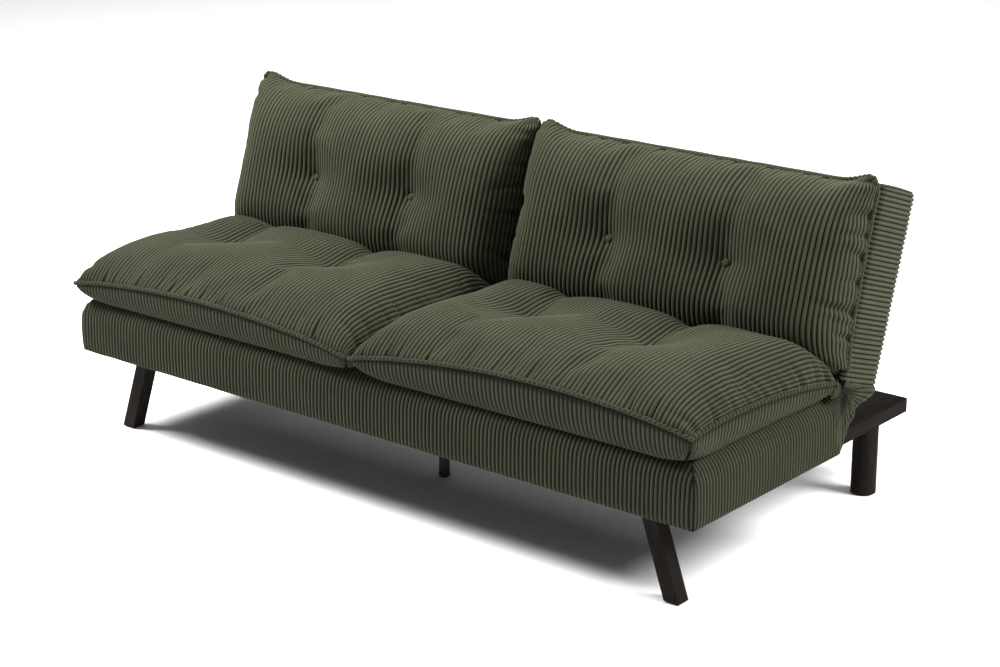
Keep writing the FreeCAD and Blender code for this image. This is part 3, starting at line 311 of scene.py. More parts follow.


# %% [markdown]
# ### Corduroy
# The colour carries painted light and shade: the wale attribute drives it from a nearly black painted shade in each
# valley to a painted highlight of olive on the top of each cord, and where a mesh sets the wale to 0, along seams and
# edges and under the cushions, that painted valley shade shows. A slow noise mottles the nap, and a fine noise gives
# the pile its grain. Sheen gives the soft, dusty, pale rim that velvet and corduroy show on the cords. The seat
# cushions and the base get copies of the same corduroy darkened by a painted shade, a shade darker than the back.

# %% Corduroy
# Painted light: a nearly black painted shade for the valleys, a mid olive, and a painted highlight for the cord tops.
VALLEY_SHADE, CORD, CORD_TOP_HIGHLIGHT = (0.0028, 0.0032, 0.0019), (0.0205, 0.0229, 0.0121), (0.0510, 0.0565, 0.0318)
WALE_SHADE_AND_HIGHLIGHT = ((0.12, VALLEY_SHADE), (0.62, CORD), (1.0, CORD_TOP_HIGHLIGHT))
WHITE = (1.0, 1.0, 1.0)


def pile_surface(nodes, links, shader, body, grain):
    """What every pile here shares: rough, hardly shiny, with a pale sheen and a fine grain."""
    links.new(body, shader.inputs["Base Color"])
    links.new(level(nodes, links, grain, 0.86, 0.98), shader.inputs["Roughness"])
    settle(shader, {"Specular IOR Level": 0.12, "Sheen Weight": 0.10, "Sheen Roughness": 0.4,
                    "Sheen Tint": (0.62, 0.66, 0.46, 1)})
    bump(nodes, links, shader, grain, 0.5, 0.0012)


def corduroy_finish(name, shade):
    m, nodes, links, shader, coord = new_material(name)
    wale = nodes.new("ShaderNodeAttribute")
    wale.attribute_name = "wale"
    # the wale attribute picks the colour from painted valley shade up to painted highlight on the cord tops
    stops = [(place, tuple(shade * v for v in colour)) for place, colour in WALE_SHADE_AND_HIGHLIGHT]
    body = ramp(nodes, links, wale.outputs["Fac"], stops)
    nap = ramp(nodes, links, noise(nodes, links, coord, 9.0, 4.0), [(0.3, (0.80, 0.81, 0.79)), (0.7, WHITE)])
    grain = noise(nodes, links, coord, 620.0, 2.0)
    specks = ramp(nodes, links, grain, [(0.3, (0.72, 0.72, 0.72)), (0.7, WHITE)])
    body = multiply(nodes, links, body, nap, 1.0)
    body = multiply(nodes, links, body, specks, 0.8)
    pile_surface(nodes, links, shader, body, grain)
    return m


# One corduroy in three copies: the seat and base copies are darkened as painted shade, and the back is the lightest.
corduroy = corduroy_finish("olive_corduroy", 0.94)
seat_corduroy_painted_shade = corduroy_finish("olive_corduroy_seat", 0.77)
base_corduroy_painted_shade = corduroy_finish("olive_corduroy_base", 0.68)
print("corduroy made")

# %% [markdown]
# ## The seat base
# The base is a low foam box with a generous roll along its top edge. The cords climb each side, turn over the roll
# and run in under the cushions. Under the box the corduroy is folded in and held by the lining.

# %% Seat base cover
ROLL = 56 * MM
b0, b1 = float(base_low[2]), float(base_high[2])
depth = float(base_high[1] - base_low[1]) / 2
BOW = 1.2 * MM
HEM_TOP = 12 * MM
COVER_IN = 1 * MM
base_section = [(30 * MM, b0 + 0.6 * MM), (16 * MM, b0 + 0.4 * MM)]
for x, z in [(8 * MM, 0.8 * MM), (3.2 * MM, 2.6 * MM), (0.8 * MM, 7 * MM)]:
    base_section.append((BOW + x, b0 + z))
for k in np.linspace(0, 1, 8):
    bow = BOW * (1 - math.sin(math.pi * min(1, 0.12 + 0.88 * k)))
    base_section.append((bow, b0 + HEM_TOP + k * (b1 - ROLL - b0 - HEM_TOP)))
for a in np.linspace(0, 90, 11)[1:]:
    t = math.radians(a)
    base_section.append((BOW + (ROLL - BOW) * (1 - math.cos(t)), b1 - ROLL * (1 - math.sin(t))))
base_section += [(x, b1) for x in (80 * MM, 110 * MM, 150 * MM, 200 * MM, depth)]
p, q, r = strips(HALF - COVER_IN, float(base_low[1]) + COVER_IN, float(base_high[1]) - COVER_IN, base_section)
seat_base = raised("seat_base_corduroy", p, q, r, seed=3)
seat_base.data.materials.append(base_corduroy_painted_shade)
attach(seat_base, "base")
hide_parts("seat_cover", "seat_foam")
print("seat base:", len(seat_base.data.polygons), "faces")

# %% [markdown]
# ## The back panel
# The back is one long, thinner box. Its cords run through the thickness on the ends and over the top, and straight up
# on its rear face, where a separate panel is sewn in.

# %% Back cover
A0, A1 = 15 * MM, 449 * MM  # foot and top of the panel
B0, B1 = -24 * MM, 126.6 * MM  # its front and rear faces
EDGE, FRONT_EDGE = 20 * MM, 12 * MM
WALES_WIDE, WALES_TALL = 171, 41
mid = (A1 - A0) / 2
behind = -B1 + 8 * MM  # the cover lies this deep under the sewn-in rear panel
back_section = [(mid, behind), (120 * MM, behind), (40 * MM, behind), (EDGE + 4 * MM, -B1 + 3 * MM)]
for a in np.linspace(90, 0, 9):
    t = math.radians(a)
    back_section.append((EDGE * (1 - math.cos(t)), -(B1 - EDGE * (1 - math.sin(t)))))
for k in np.linspace(0, 1, 8)[1:-1]:
    bow = -1.5 * MM * math.sin(math.pi * k)
    back_section.append((bow, -(B1 - EDGE) + k * (B1 - EDGE - B0 - FRONT_EDGE)))
for a in np.linspace(0, 90, 6):
    t = math.radians(a)
    back_section.append((FRONT_EDGE * (1 - math.cos(t)), -B0 - FRONT_EDGE * (1 - math.sin(t))))
back_section += [(x, -B0) for x in (30 * MM, 60 * MM, 120 * MM, mid)]
p, q, r = strips(HALF - 1.5 * MM, A0 + 1 * MM, A1 - 1.5 * MM, back_section, counts=(WALES_WIDE, WALES_TALL))
back_cover = raised("back_panel_corduroy", on_back(p), q, r, seed=5)
back_cover.data.materials.append(corduroy)
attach(back_cover, "backrest")
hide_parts("back_cover", "back_foam")

PANEL_IN = 16 * MM
xs = np.linspace(-HALF + PANEL_IN, HALF - PANEL_IN, 168 * COLS + 1)
ys = np.linspace(A0 + 14 * MM, A1 - PANEL_IN, 46)
X, Y = np.meshgrid(xs, ys)
edge_x, edge_y = (HALF - PANEL_IN) - np.abs(X), np.minimum(Y - ys[0], ys[-1] - Y)
to_edge = np.minimum(edge_x, edge_y)
Z = -B1 + 4.5 * MM - 4.0 * MM * smooth01(to_edge / (10 * MM))
# at the panel's edge the wale fades to 0, which paints a band of nearly black valley shade round its seam
value = wale_section(np.arange(len(xs)) / COLS)[None, :] * smooth01(to_edge / (8 * MM))
rear_points = on_back(np.stack([X, Y, Z], -1).reshape(-1, 3))
rear_panel = raised("back_rear_panel", rear_points, grid_faces(*X.shape)[:, ::-1], value.reshape(-1),
                    pile=3 * MM, seed=6, sunk=0.7)
rear_panel.data.materials.append(corduroy)
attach(rear_panel, "backrest")
print("back panel:", len(back_cover.data.polygons) + len(rear_panel.data.polygons), "faces")

# %% [markdown]
# ## Stuffed cushions
# Each cushion is a pillow: a domed top panel and a shallow lower half sewn together round a rope-like seam, pulled
# down at two tufts. It starts as a slightly slack pillow made by rule. Blender's cloth then blows it up against its
# seam and its tufts, which gives the taut creases that no rule gives. The result is read back as a grid, refined with
# a smooth curve through its points, and only then given its wales, so that the cords follow every hollow.

# %% Smooth refinement of a grid
def refine_matrix(n_in, n_out):
    """Catmull-Rom weights that carry n_in even samples to n_out."""
    t = np.linspace(0, n_in - 1, n_out)
    i = np.minimum(t.astype(int), n_in - 2)
    f = t - i
    w = np.zeros((n_out, n_in))
    rows = np.arange(n_out)
    parts = [-0.5 * f + f**2 - 0.5 * f**3, 1 - 2.5 * f**2 + 1.5 * f**3,
             0.5 * f + 2 * f**2 - 1.5 * f**3, -0.5 * f**2 + 0.5 * f**3]
    for k, part in enumerate(parts):
        j = i - 1 + k
        low, high = j < 0, j > n_in - 1
        ok = ~(low | high)
        w[rows[ok], j[ok]] += part[ok]
        w[rows[low], 0] += 2 * part[low]
        w[rows[low], 1] -= part[low]
        w[rows[high], n_in - 1] += 2 * part[high]
        w[rows[high], n_in - 2] -= part[high]
    return w


def refine(grid, rows, cols):
    a, b = refine_matrix(grid.shape[0], rows), refine_matrix(grid.shape[1], cols)
    return np.einsum("ri,ijk,cj->rck", a, grid, b)


def even_spread(width, radius_low, radius_high, rise, n):
    """Places across a domed panel whose steps are even along the cloth."""
    s = np.linspace(0, width, 2001)
    h = rise * dome(s, radius_low) * dome(width - s, radius_high)
    length = np.concatenate([[0], np.cumsum(np.hypot(np.diff(s), np.diff(h)))])
    return np.interp(np.linspace(0, length[-1], n), length, s)


def dome(d, radius):
    return np.sqrt(np.maximum(1 - (1 - np.clip(d / radius, 0, 1)) ** 2, 0))


# %% The slack pillow
EAR_FADE = 38 * MM
VALLEY_WIDE, VALLEY_START = 46 * MM, 60 * MM
ROW_WIDE, ROW_FADE = 52 * MM, 170 * MM


def pillow(c, nu, nv):
    """The top panel of a cushion as a grid: across, along the wales, and height, with the tufts drawn in."""
    w, l = c["x1"] - c["x0"], c["y1"] - c["y0"]
    rise = c["crown"] - c["seam"]
    sx = even_spread(w, c["side"], c["side"], rise, nu)[None, :]
    sy = even_spread(l, c["near"], c["far"], rise, nv)[:, None]
    u, v = sx / w, sy / l
    near, right, far, left = c["pulls"]
    slack_u, slack_v = (1 - np.exp(-((np.minimum(d, span - d) / c["bump"]) ** c["bend"]))
                        for d, span in ((sx, w), (sy, l)))
    x0, x1 = c["x0"] + left * slack_v, c["x1"] - right * slack_v
    y0, y1 = c["y0"] + near * slack_u, c["y1"] - far * slack_u
    x, y = x0 + (x1 - x0) * u, y0 + (y1 - y0) * v
    # the corners are rounded a little, so that they end in soft ears
    middle = (c["x0"] + c["x1"]) / 2, (c["y0"] + c["y1"]) / 2
    x, y = round_corners(x, y, w / 2, l / 2, c["ear"], centre=middle, soft=c["soft"])
    k = c["corners"]
    seam = (k[0] * (1 - u) + k[1] * u) * (1 - v) + (k[3] * (1 - u) + k[2] * u) * v
    near, right, far, left = c["lifts"]
    arch_u, arch_v = np.sin(np.pi * u) ** 0.8, np.sin(np.pi * v) ** 0.8
    seam = seam + arch_u * (near * (1 - v) ** 3 + far * v ** 3) + arch_v * (left * (1 - u) ** 5 + right * u ** 5)
    for (ex, ey), ear_rise in zip([(0, 0), (w, 0), (w, l), (0, l)], c["ears"]):
        seam = seam + ear_rise * np.exp(-np.hypot(sx - ex, sy - ey) / EAR_FADE)
    top = c["crown"] - seam
    h = dome(sx, c["side"]) * dome(w - sx, c["side"]) * dome(sy, c["near"]) * dome(l - sy, c["far"])
    h = h * (0.93 + 0.07 * np.sin(np.pi * u) * np.sin(np.pi * v))
    body = np.minimum(h * 1.6, 1)
    dip = 0 * h
    for tx, ty in c["tufts"]:
        d = np.hypot((x - tx) * 0.9, y - ty)
        dip = np.maximum(dip, c["tuft"] * np.exp(-d / c["spread"]))
        down = np.exp(-(((x - tx) / VALLEY_WIDE) ** 2))
        valley = smooth01((y - ty) / VALLEY_START) * c["valley_far"]
        valley = valley + smooth01((ty - y) / VALLEY_START) * c["valley_near"]
        dip = dip + down * valley * (1 - 0.3 * np.abs(y - ty) / l)
    (first_x, row_y), (last_x, _) = c["tufts"]
    beyond = np.maximum(np.maximum(first_x - x, x - last_x), 0)
    row = np.exp(-(((y - row_y) / ROW_WIDE) ** 2)) * c["valley_row"] * smooth01(1 - beyond / ROW_FADE)
    z = seam + top * h - (dip + row) * body
    return np.stack([x + 0 * y, y + 0 * x, z], -1)


# %% Blow the pillow up with cloth
CLOTH_CAP, CLOTH_FRAMES = 24 * MM, 20


def blown(name, c, grid):
    """Runs Cloth on a closed pillow whose seam, underside and tufts are held, and returns the new top grid."""
    rows, cols = grid.shape[:2]
    cx, cy = (c["x0"] + c["x1"]) / 2, (c["y0"] + c["y1"]) / 2
    under = grid.copy()
    w, l = c["x1"] - c["x0"], c["y1"] - c["y0"]
    under[..., 0] = cx + (grid[..., 0] - cx) * (1 - 2 * c["tuck"] / w)
    under[..., 1] = cy + (grid[..., 1] - cy) * (1 - 2 * c["tuck"] / l)
    under[..., 2] = c["foot"]
    points = np.concatenate([grid.reshape(-1, 3), under.reshape(-1, 3)])
    n = rows * cols
    quads, rim = two_skins(rows, cols)
    piece = mesh_piece(name + "_slack", points, quads)
    held = np.zeros(2 * n)
    held[n:] = 1
    held[rim] = 1
    for tx, ty in c["tufts"]:
        d = np.hypot(grid[..., 0] - tx, grid[..., 1] - ty).reshape(-1)
        held[np.argmin(d)] = 1
    group = piece.vertex_groups.new(name="held")
    group.add([int(k) for k in np.nonzero(held)[0]], 1.0, "REPLACE")
    cloth = piece.modifiers.new("Cloth", "CLOTH")
    s = cloth.settings
    s.quality, s.mass, s.air_damping = 6, 0.3, 1.5
    s.tension_stiffness = s.compression_stiffness = 18
    s.shear_stiffness, s.bending_stiffness = 6, 1.2
    s.use_pressure, s.uniform_pressure_force = True, c["pressure"]
    s.vertex_group_mass = "held"
    s.shrink_min = c["slack"]
    s.effector_weights.gravity = 0
    cloth.collision_settings.use_collision = False
    cloth.point_cache.frame_start, cloth.point_cache.frame_end = 1, CLOTH_FRAMES
    for f in range(1, CLOTH_FRAMES + 1):
        scene.frame_set(f)
    shape = piece.evaluated_get(bpy.context.evaluated_depsgraph_get()).to_mesh()
    co = np.zeros(len(shape.vertices) * 3)
    shape.vertices.foreach_get("co", co)
    moved = co.reshape(-1, 3)[:n].reshape(rows, cols, 3) - grid
    bpy.data.objects.remove(piece)
    scene.frame_set(1)
    size = np.linalg.norm(moved, axis=2, keepdims=True)
    print(name, "cloth moved up to", round(float(size.max()) * 1000, 1), "mm")
    moved = moved * np.minimum(1, CLOTH_CAP / np.maximum(size, 1e-9))
    for _ in range(2):
        m = moved.copy()
        around = moved[:-2, 1:-1] + moved[2:, 1:-1] + moved[1:-1, :-2] + moved[1:-1, 2:]
        m[1:-1, 1:-1] = 0.5 * moved[1:-1, 1:-1] + 0.125 * around
        moved = m
    return grid + moved


# %% [markdown]
# ### Pinched folds along the seams
# Where a flat panel is gathered into a seam, short folds run away from it. They are drawn as narrow hollows with a
# fixed seed, some from the long seams and some, longer, from the ends.

# %% Pinched folds
def pinches(s, d, places):
    """s runs along the seam and d away from it, in metres. places are (where, width, length, depth, lean)."""
    out = 0 * (s + d)
    for where, width, length, deep, lean in places:
        x = (s - where - lean * d) / width
        hollow = np.exp(-x * x) - 0.35 * np.exp(-((np.abs(x) - 1.9) ** 2))
        out = out - deep * hollow * smooth01(1 - d / length) * smooth01(d / (6 * MM) + 0.35)
    return out


def seeded_pinches(seed, span, count, width, length, depth):
    r = np.random.default_rng(seed)
    found = []
    for k in range(count):
        where = span * (k + 0.5 + r.uniform(-0.35, 0.35)) / count
        found.append((where, width * r.uniform(0.8, 1.3), length * r.uniform(0.55, 1.25),
                      depth * r.uniform(0.4, 1.2), r.uniform(-0.25, 0.25)))
    return found


# %% A finished cushion
NEAR_FOLDS = (15, 7 * MM, 80 * MM, 5.2 * MM)  # how many, their width, length and depth
FAR_FOLDS = (12, 8 * MM, 60 * MM, 3 * MM)
END_FOLDS = (9, 7.5 * MM, 110 * MM, 6.2 * MM)
ROWS_EACH = 4  # fine rows to one row of the cushion
TUFT_REACH = 14 * MM
LOWER_STEPS = np.array([0, 0.04, 0.11, 0.22, 0.36, 0.5, 0.64, 0.78, 0.9, 1.0, 1.4, 2.0, 4.0, 14.0])[:, None]


def cushion(name, c, place):
    """Builds one cushion in its own axes, (across, along the wales, height), and places it. Returns it and its seam."""
    w, l = c["x1"] - c["x0"], c["y1"] - c["y0"]
    cx, cy = (c["x0"] + c["x1"]) / 2, (c["y0"] + c["y1"]) / 2
    grid = pillow(c, 53, 37)
    grid = blown(name, c, grid)
    rows, cols = c["rows"] * ROWS_EACH + 1, c["wales"] * COLS + 1
    top = refine(grid, rows, cols)
    du, dv = np.gradient(top, axis=1), np.gradient(top, axis=0)
    normal = np.cross(du, dv)
    normal /= np.maximum(np.linalg.norm(normal, axis=2, keepdims=True), 1e-12)
    step_u, step_v = (np.linalg.norm(np.diff(top, axis=k), axis=2) for k in (1, 0))
    along_u = np.concatenate([np.zeros((rows, 1)), np.cumsum(step_u, 1)], 1)
    along_v = np.concatenate([np.zeros((1, cols)), np.cumsum(step_v, 0)], 0)
    end_u, end_v = along_u[:, -1:] - along_u, along_v[-1:, :] - along_v
    across, up = (top[..., 0] - c["x0"], w), (top[..., 1] - c["y0"], l)
    folds = ((across, along_v, NEAR_FOLDS), (across, end_v, FAR_FOLDS),
             (up, along_u, END_FOLDS), (up, end_u, END_FOLDS))
    fold = 0
    for k, ((s, span), d, kind) in enumerate(folds):
        fold = fold + pinches(s, d, seeded_pinches(c["seed"] + k, span, *kind))
    near_seam = np.minimum(np.minimum(along_u, end_u), np.minimum(along_v, end_v))
    fold *= smooth01(near_seam / (5 * MM))
    phase = np.arange(cols) / COLS
    # the wale fades towards the seams, which paints the nearly black valley shade along them
    rise = wale_section(phase)[None, :] * smooth01(np.minimum(along_v, end_v) / (7 * MM) + 0.25)
    rise = rise * smooth01(near_seam / (3 * MM))
    wander = 1 + 0.12 * pile_wander(along_v * 1.6, along_u, c["seed"])
    lift = PILE * (rise * wander - 0.5) * smooth01(near_seam / (6 * MM)) + fold
    top_points = top + normal * lift[..., None]
    points, quads, value = [top_points.reshape(-1, 3)], [grid_faces(rows, cols)], [rise.reshape(-1)]
    # the lower half: four strips from the seam in to the foot, mitred at the corners
    start = rows * cols
    steps = LOWER_STEPS
    for side, seam_line in enumerate([top[0], top[:, -1], top[-1, ::-1], top[::-1, 0]]):
        n = seam_line.shape[0]
        per = COLS if side % 2 == 0 else ROWS_EACH
        inset = steps * c["tuck"]
        reach = np.minimum(inset, min(w, l) / 2 - 1 * MM)
        ex, ey = (seam_line[:, 0] - cx)[None, :], (seam_line[:, 1] - cy)[None, :]
        if side % 2 == 0:
            room = w / 2 - reach
            x = np.clip(ex, -room, room)
            y = np.sign(ey) * np.maximum(np.abs(ey) - reach, 0)
            edge = room - np.abs(ex)
        else:
            room = l / 2 - reach
            y = np.clip(ey, -room, room)
            x = np.sign(ex) * np.maximum(np.abs(ex) - reach, 0)
            edge = room - np.abs(ey)
        k, heel = np.clip(steps, 0, 1), smooth01(steps - 1) * (c["rest"] - c["foot"])
        drop = np.sin(k * np.pi / 2) ** 0.85
        z = seam_line[:, 2][None, :] * (1 - drop) + (c["foot"] + heel) * drop
        belly = c["belly"] * np.sin(np.pi * k) * (1 - 0.4 * k)
        if side % 2 == 0:
            y = y + np.sign(ey) * belly
        else:
            x = x + np.sign(ex) * belly
        fade = smooth01((edge + 1 * MM) / (6 * MM))
        ribs = wale_section(np.arange(n) / per)[None, :] * fade * smooth01(steps / 0.12) + 0 * x
        # the foot rounds off at the corners, more than the seam does
        curl = c["curl"] * np.clip(steps, 0, 1)
        x, y = round_corners(x, y, w / 2 - reach, l / 2 - reach, curl, where=steps > 0)
        points.append(np.stack([x + cx, y + cy, z + 0 * x], -1).reshape(-1, 3))
        quads.append(grid_faces(len(steps), n, start)[:, ::-1])
        # past the foot the wale falls to 0, so the cushion's underside takes the nearly black painted valley shade
        value.append((ribs * (1 - smooth01(steps - 1))).reshape(-1))
        start += points[-1].shape[0]
    low_n = start - rows * cols
    points, quads, value = np.concatenate(points), np.concatenate(quads), np.concatenate(value)
    is_low = np.concatenate([np.zeros(rows * cols), np.ones(low_n)])
    bulge = PILE * 0.9 * (value - 0.2) * is_low
    bare = (np.abs(value) < 1e-9) & (is_low > 0)
    points = points + surface_normals(points, quads) * np.where(bare, 0, bulge)[:, None]
    points, quads, value = weld(points, quads, value)
    piece = mesh_piece(name, place(points), quads, {"wale": value})
    piece.data.materials.append(c["cloth"])
    seam = np.concatenate([top[0, :-1:3], top[:-1:2, -1], top[-1, :0:-3], top[:0:-2, 0]])
    tufts = []
    for tx, ty in c["tufts"]:
        near = np.hypot(top[..., 0] - tx, top[..., 1] - ty) < TUFT_REACH
        k = np.argmin(np.where(near, top[..., 2], 9))
        tufts.append(top.reshape(-1, 3)[k])
    return piece, place(seam), place(np.array(tufts))


# %% [markdown]
# ### Rope seams
# The two halves of a cushion are overlocked together, and the cut wales bunch into a row of little knots, like rope.
# That is one shape repeated along a path, so Geometry Nodes lays it: the seam line becomes a curve, is divided
# evenly, and carries one small slanted bead at each point. Staples and stitches repeat along a line in the same way,
# so the tree is built by a helper that takes the shape, the inputs that size it and the axis that follows the path.

# %% Node group for one shape along a path
def path_tree(name, sizes, shape, settings, axis, scale, smooth=False):
    """sizes are the named inputs, and scale names the three of them that size the shape."""
    tree = bpy.data.node_groups.new(name, "GeometryNodeTree")
    face = tree.interface
    face.new_socket("Geometry", in_out="INPUT", socket_type="NodeSocketGeometry")
    for key, value in sizes.items():
        face.new_socket(key, in_out="INPUT", socket_type="NodeSocketFloat").default_value = value
    face.new_socket("Finish", in_out="INPUT", socket_type="NodeSocketMaterial")
    face.new_socket("Geometry", in_out="OUTPUT", socket_type="NodeSocketGeometry")
    n, k = tree.nodes, tree.links
    inp, out = n.new("NodeGroupInput"), n.new("NodeGroupOutput")
    curve, spaced = n.new("GeometryNodeMeshToCurve"), n.new("GeometryNodeResampleCurve")
    spaced.mode = "LENGTH"
    unit = n.new(shape)
    settle(unit, settings)
    tangent, align = n.new("GeometryNodeInputTangent"), n.new("FunctionNodeAlignRotationToVector")
    align.axis = axis
    size, inst = n.new("ShaderNodeCombineXYZ"), n.new("GeometryNodeInstanceOnPoints")
    real, paint = n.new("GeometryNodeRealizeInstances"), n.new("GeometryNodeSetMaterial")
    k.new(inp.outputs["Geometry"], curve.inputs["Mesh"])
    k.new(curve.outputs["Curve"], spaced.inputs["Curve"])
    k.new(inp.outputs["Spacing"], spaced.inputs["Length"])
    k.new(spaced.outputs["Curve"], inst.inputs["Points"])
    k.new(unit.outputs["Mesh"], inst.inputs["Instance"])
    k.new(tangent.outputs["Tangent"], align.inputs["Vector"])
    rotation = align.outputs["Rotation"]
    if "Slant" in sizes:
        slant, turn = n.new("FunctionNodeAxisAngleToRotation"), n.new("FunctionNodeRotateRotation")
        slant.inputs["Axis"].default_value = (0, 0, 1)
        turn.rotation_space = "LOCAL"
        k.new(inp.outputs["Slant"], slant.inputs["Angle"])
        k.new(rotation, turn.inputs["Rotation"])
        k.new(slant.outputs["Rotation"], turn.inputs["Rotate By"])
        rotation = turn.outputs["Rotation"]
    k.new(rotation, inst.inputs["Rotation"])
    for letter, key in zip("XYZ", scale):
        k.new(inp.outputs[key], size.inputs[letter])
    k.new(size.outputs["Vector"], inst.inputs["Scale"])
    k.new(inst.outputs["Instances"], real.inputs["Geometry"])
    made = real.outputs["Geometry"]
    if smooth:
        soft = n.new("GeometryNodeSetShadeSmooth")
        k.new(made, soft.inputs["Geometry"])
        made = soft.outputs["Geometry"]
    k.new(made, paint.inputs["Geometry"])
    k.new(inp.outputs["Finish"], paint.inputs["Material"])
    k.new(paint.outputs["Geometry"], out.inputs["Geometry"])
    return tree


def grown(name, source, tree, inputs):
    """Gives source the node tree, sets its named inputs, and returns the result as a plain mesh object."""
    mod = source.modifiers.new("grow", "NODES")
    mod.node_group = tree
    ids = {i.name: i.identifier for i in tree.interface.items_tree if i.in_out == "INPUT"}
    for key, value in inputs.items():
        mod[ids[key]] = value
    graph = bpy.context.evaluated_depsgraph_get()
    graph.update()
    mesh = bpy.data.meshes.new_from_object(source.evaluated_get(graph), depsgraph=graph)
    mesh.name = name
    piece = bpy.data.objects.new(name, mesh)
    scene.collection.objects.link(piece)
    bpy.data.objects.remove(source)
    return piece


def path_object(name, points, closed=True):
    n = len(points)
    edges = [(i, (i + 1) % n) for i in range(n if closed else n - 1)]
    mesh = bpy.data.meshes.new(name)
    mesh.from_pydata([tuple(p) for p in points], edges, [])
    o = bpy.data.objects.new(name, mesh)
    scene.collection.objects.link(o)
    return o


# %% Rope seams
BEAD_LENGTH, BEAD_WIDTH = 0.0165, 0.011
rope = path_tree("rope_seam", {"Spacing": 0.0125, "Bead length": BEAD_LENGTH, "Bead width": BEAD_WIDTH, "Slant": 0.5},
                 "GeometryNodeMeshUVSphere", {"Segments": 8, "Rings": 5, "Radius": 0.5},
                 "X", ("Bead length", "Bead width", "Bead width"), smooth=True)


def rope_finish():
    m, nodes, links, shader, coord = new_material("olive_rope_seam")
    grain = noise(nodes, links, coord, 420.0, 3.0)
    body = ramp(nodes, links, grain, [(0.3, (0.013, 0.0146, 0.0078)), (0.7, (0.034, 0.038, 0.021))])
    pile_surface(nodes, links, shader, body, grain)
    return m


rope_cloth = rope_finish()


def rope_seam(name, points, body, thick=1.0):
    piece = grown(name, path_object(name + "_line", points), rope,
                  {"Finish": rope_cloth, "Bead width": BEAD_WIDTH * thick, "Bead length": BEAD_LENGTH * thick})
    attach(piece, body)
    return piece


# %% [markdown]
# ### Seat cushions
# Two cushions lie side by side on the base. Their tufts sit in a row behind the front roll, and a valley runs back
# from each tuft. The seam at the outer front corner of the right cushion rides higher than the others.

# %% Seat cushions
seat_low, seat_high = (np.array(p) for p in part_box("left_seat_cushion"))
Y0, Y1 = float(seat_low[1]), float(seat_high[1])
HALF_GAP = 1.5 * MM  # half of what is left between the two cushions
SEAT_ROW = -0.150
SEAT = dict(
    cloth=seat_corduroy_painted_shade, y0=Y0, y1=Y1, foot=b1 - 9 * MM, rest=b1 - 0.3 * MM, seam=375 * MM,
    crown=float(seat_high[2]) + 8 * MM, side=100 * MM, near=200 * MM, far=95 * MM,
    pulls=(7 * MM, 8 * MM, 6 * MM, 8 * MM), ear=30 * MM, ears=(0, 0, 0, 0), tuck=32 * MM, curl=95 * MM,
    belly=9 * MM, soft=0.5, bump=45 * MM, bend=1, tuft=28 * MM, spread=52 * MM, valley_far=10 * MM,
    valley_near=2 * MM, valley_row=10 * MM, wales=88, rows=52, pressure=4.0, slack=-0.02,
)
seats = {
    "left_seat": dict(SEAT, x0=-HALF, x1=-HALF_GAP, corners=(369 * MM, 366 * MM, 362 * MM, 372 * MM),
                      lifts=(37 * MM, 10 * MM, 0, 20 * MM), tufts=[(-0.690, SEAT_ROW), (-0.350, SEAT_ROW)], seed=11),
    "right_seat": dict(SEAT, x0=HALF_GAP, x1=HALF, corners=(368 * MM, 394 * MM, 361 * MM, 362 * MM),
                       lifts=(41 * MM, 20 * MM, 0, 10 * MM), tufts=[(0.240, SEAT_ROW), (0.565, SEAT_ROW)], seed=21),
}
seat_tufts, back_tufts = [], []
for key, c in seats.items():
    piece, seam, tufts = cushion(key + "_cushion_corduroy", c, lambda p: p)
    seat_tufts.extend(tufts)
    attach(piece, "base")
    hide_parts(key + "_cushion")
    rope_seam(key + "_rope_seam", seam, "base")
    print(piece.name, len(piece.data.polygons), "faces")

# %% [markdown]
# ### Back cushions
# The back cushions stand on the panel in the back's own axes, so the same helper makes them: their near end is the
# bottom, and their height is measured out of the front of the panel. A covered button closes each tuft.

# %% Back cushions
BACK_ROW = 0.222
BACK = dict(
    cloth=corduroy, y0=33 * MM, y1=462 * MM, foot=24.5 * MM, rest=24.5 * MM, seam=38 * MM, crown=147 * MM,
    side=98 * MM, near=110 * MM, far=150 * MM, pulls=(6 * MM, 7 * MM, 21 * MM, 7 * MM),
    lifts=(0, 6 * MM, 4 * MM, 6 * MM), corners=(20 * MM, 20 * MM, 40 * MM, 40 * MM), ear=34 * MM,
    tuck=30 * MM, curl=45 * MM, belly=4 * MM, soft=0.9, bump=60 * MM, bend=2, tuft=34 * MM, spread=50 * MM,
    valley_far=7 * MM, valley_near=6 * MM, valley_row=9 * MM, wales=88, rows=42, pressure=4.0, slack=-0.02,
)
backs = {
    "left_back": dict(BACK, x0=-HALF, x1=-HALF_GAP, ears=(-6 * MM, -6 * MM, 8 * MM, 22 * MM),
                      tufts=[(-0.605, BACK_ROW), (-0.295, BACK_ROW)], seed=31),
    "right_back": dict(BACK, x0=HALF_GAP, x1=HALF, ears=(-6 * MM, -6 * MM, 22 * MM, 8 * MM),
                       tufts=[(0.300, BACK_ROW), (0.615, BACK_ROW)], seed=41),
}
for key, c in backs.items():
    piece, seam, tufts = cushion(key + "_cushion_corduroy", c, on_back)
    back_tufts.extend(tufts)
    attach(piece, "backrest")
    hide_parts(key + "_cushion")
    rope_seam(key + "_rope_seam", seam, "backrest", thick=1.2)
    print(piece.name, len(piece.data.polygons), "faces")

# %% [markdown]
# ### Covered buttons
# A covered button is a small tin dome wrapped in a scrap of the same corduroy, so two or three wales cross it at an
# angle. It sits at the bottom of its tuft and faces the way the panel does.

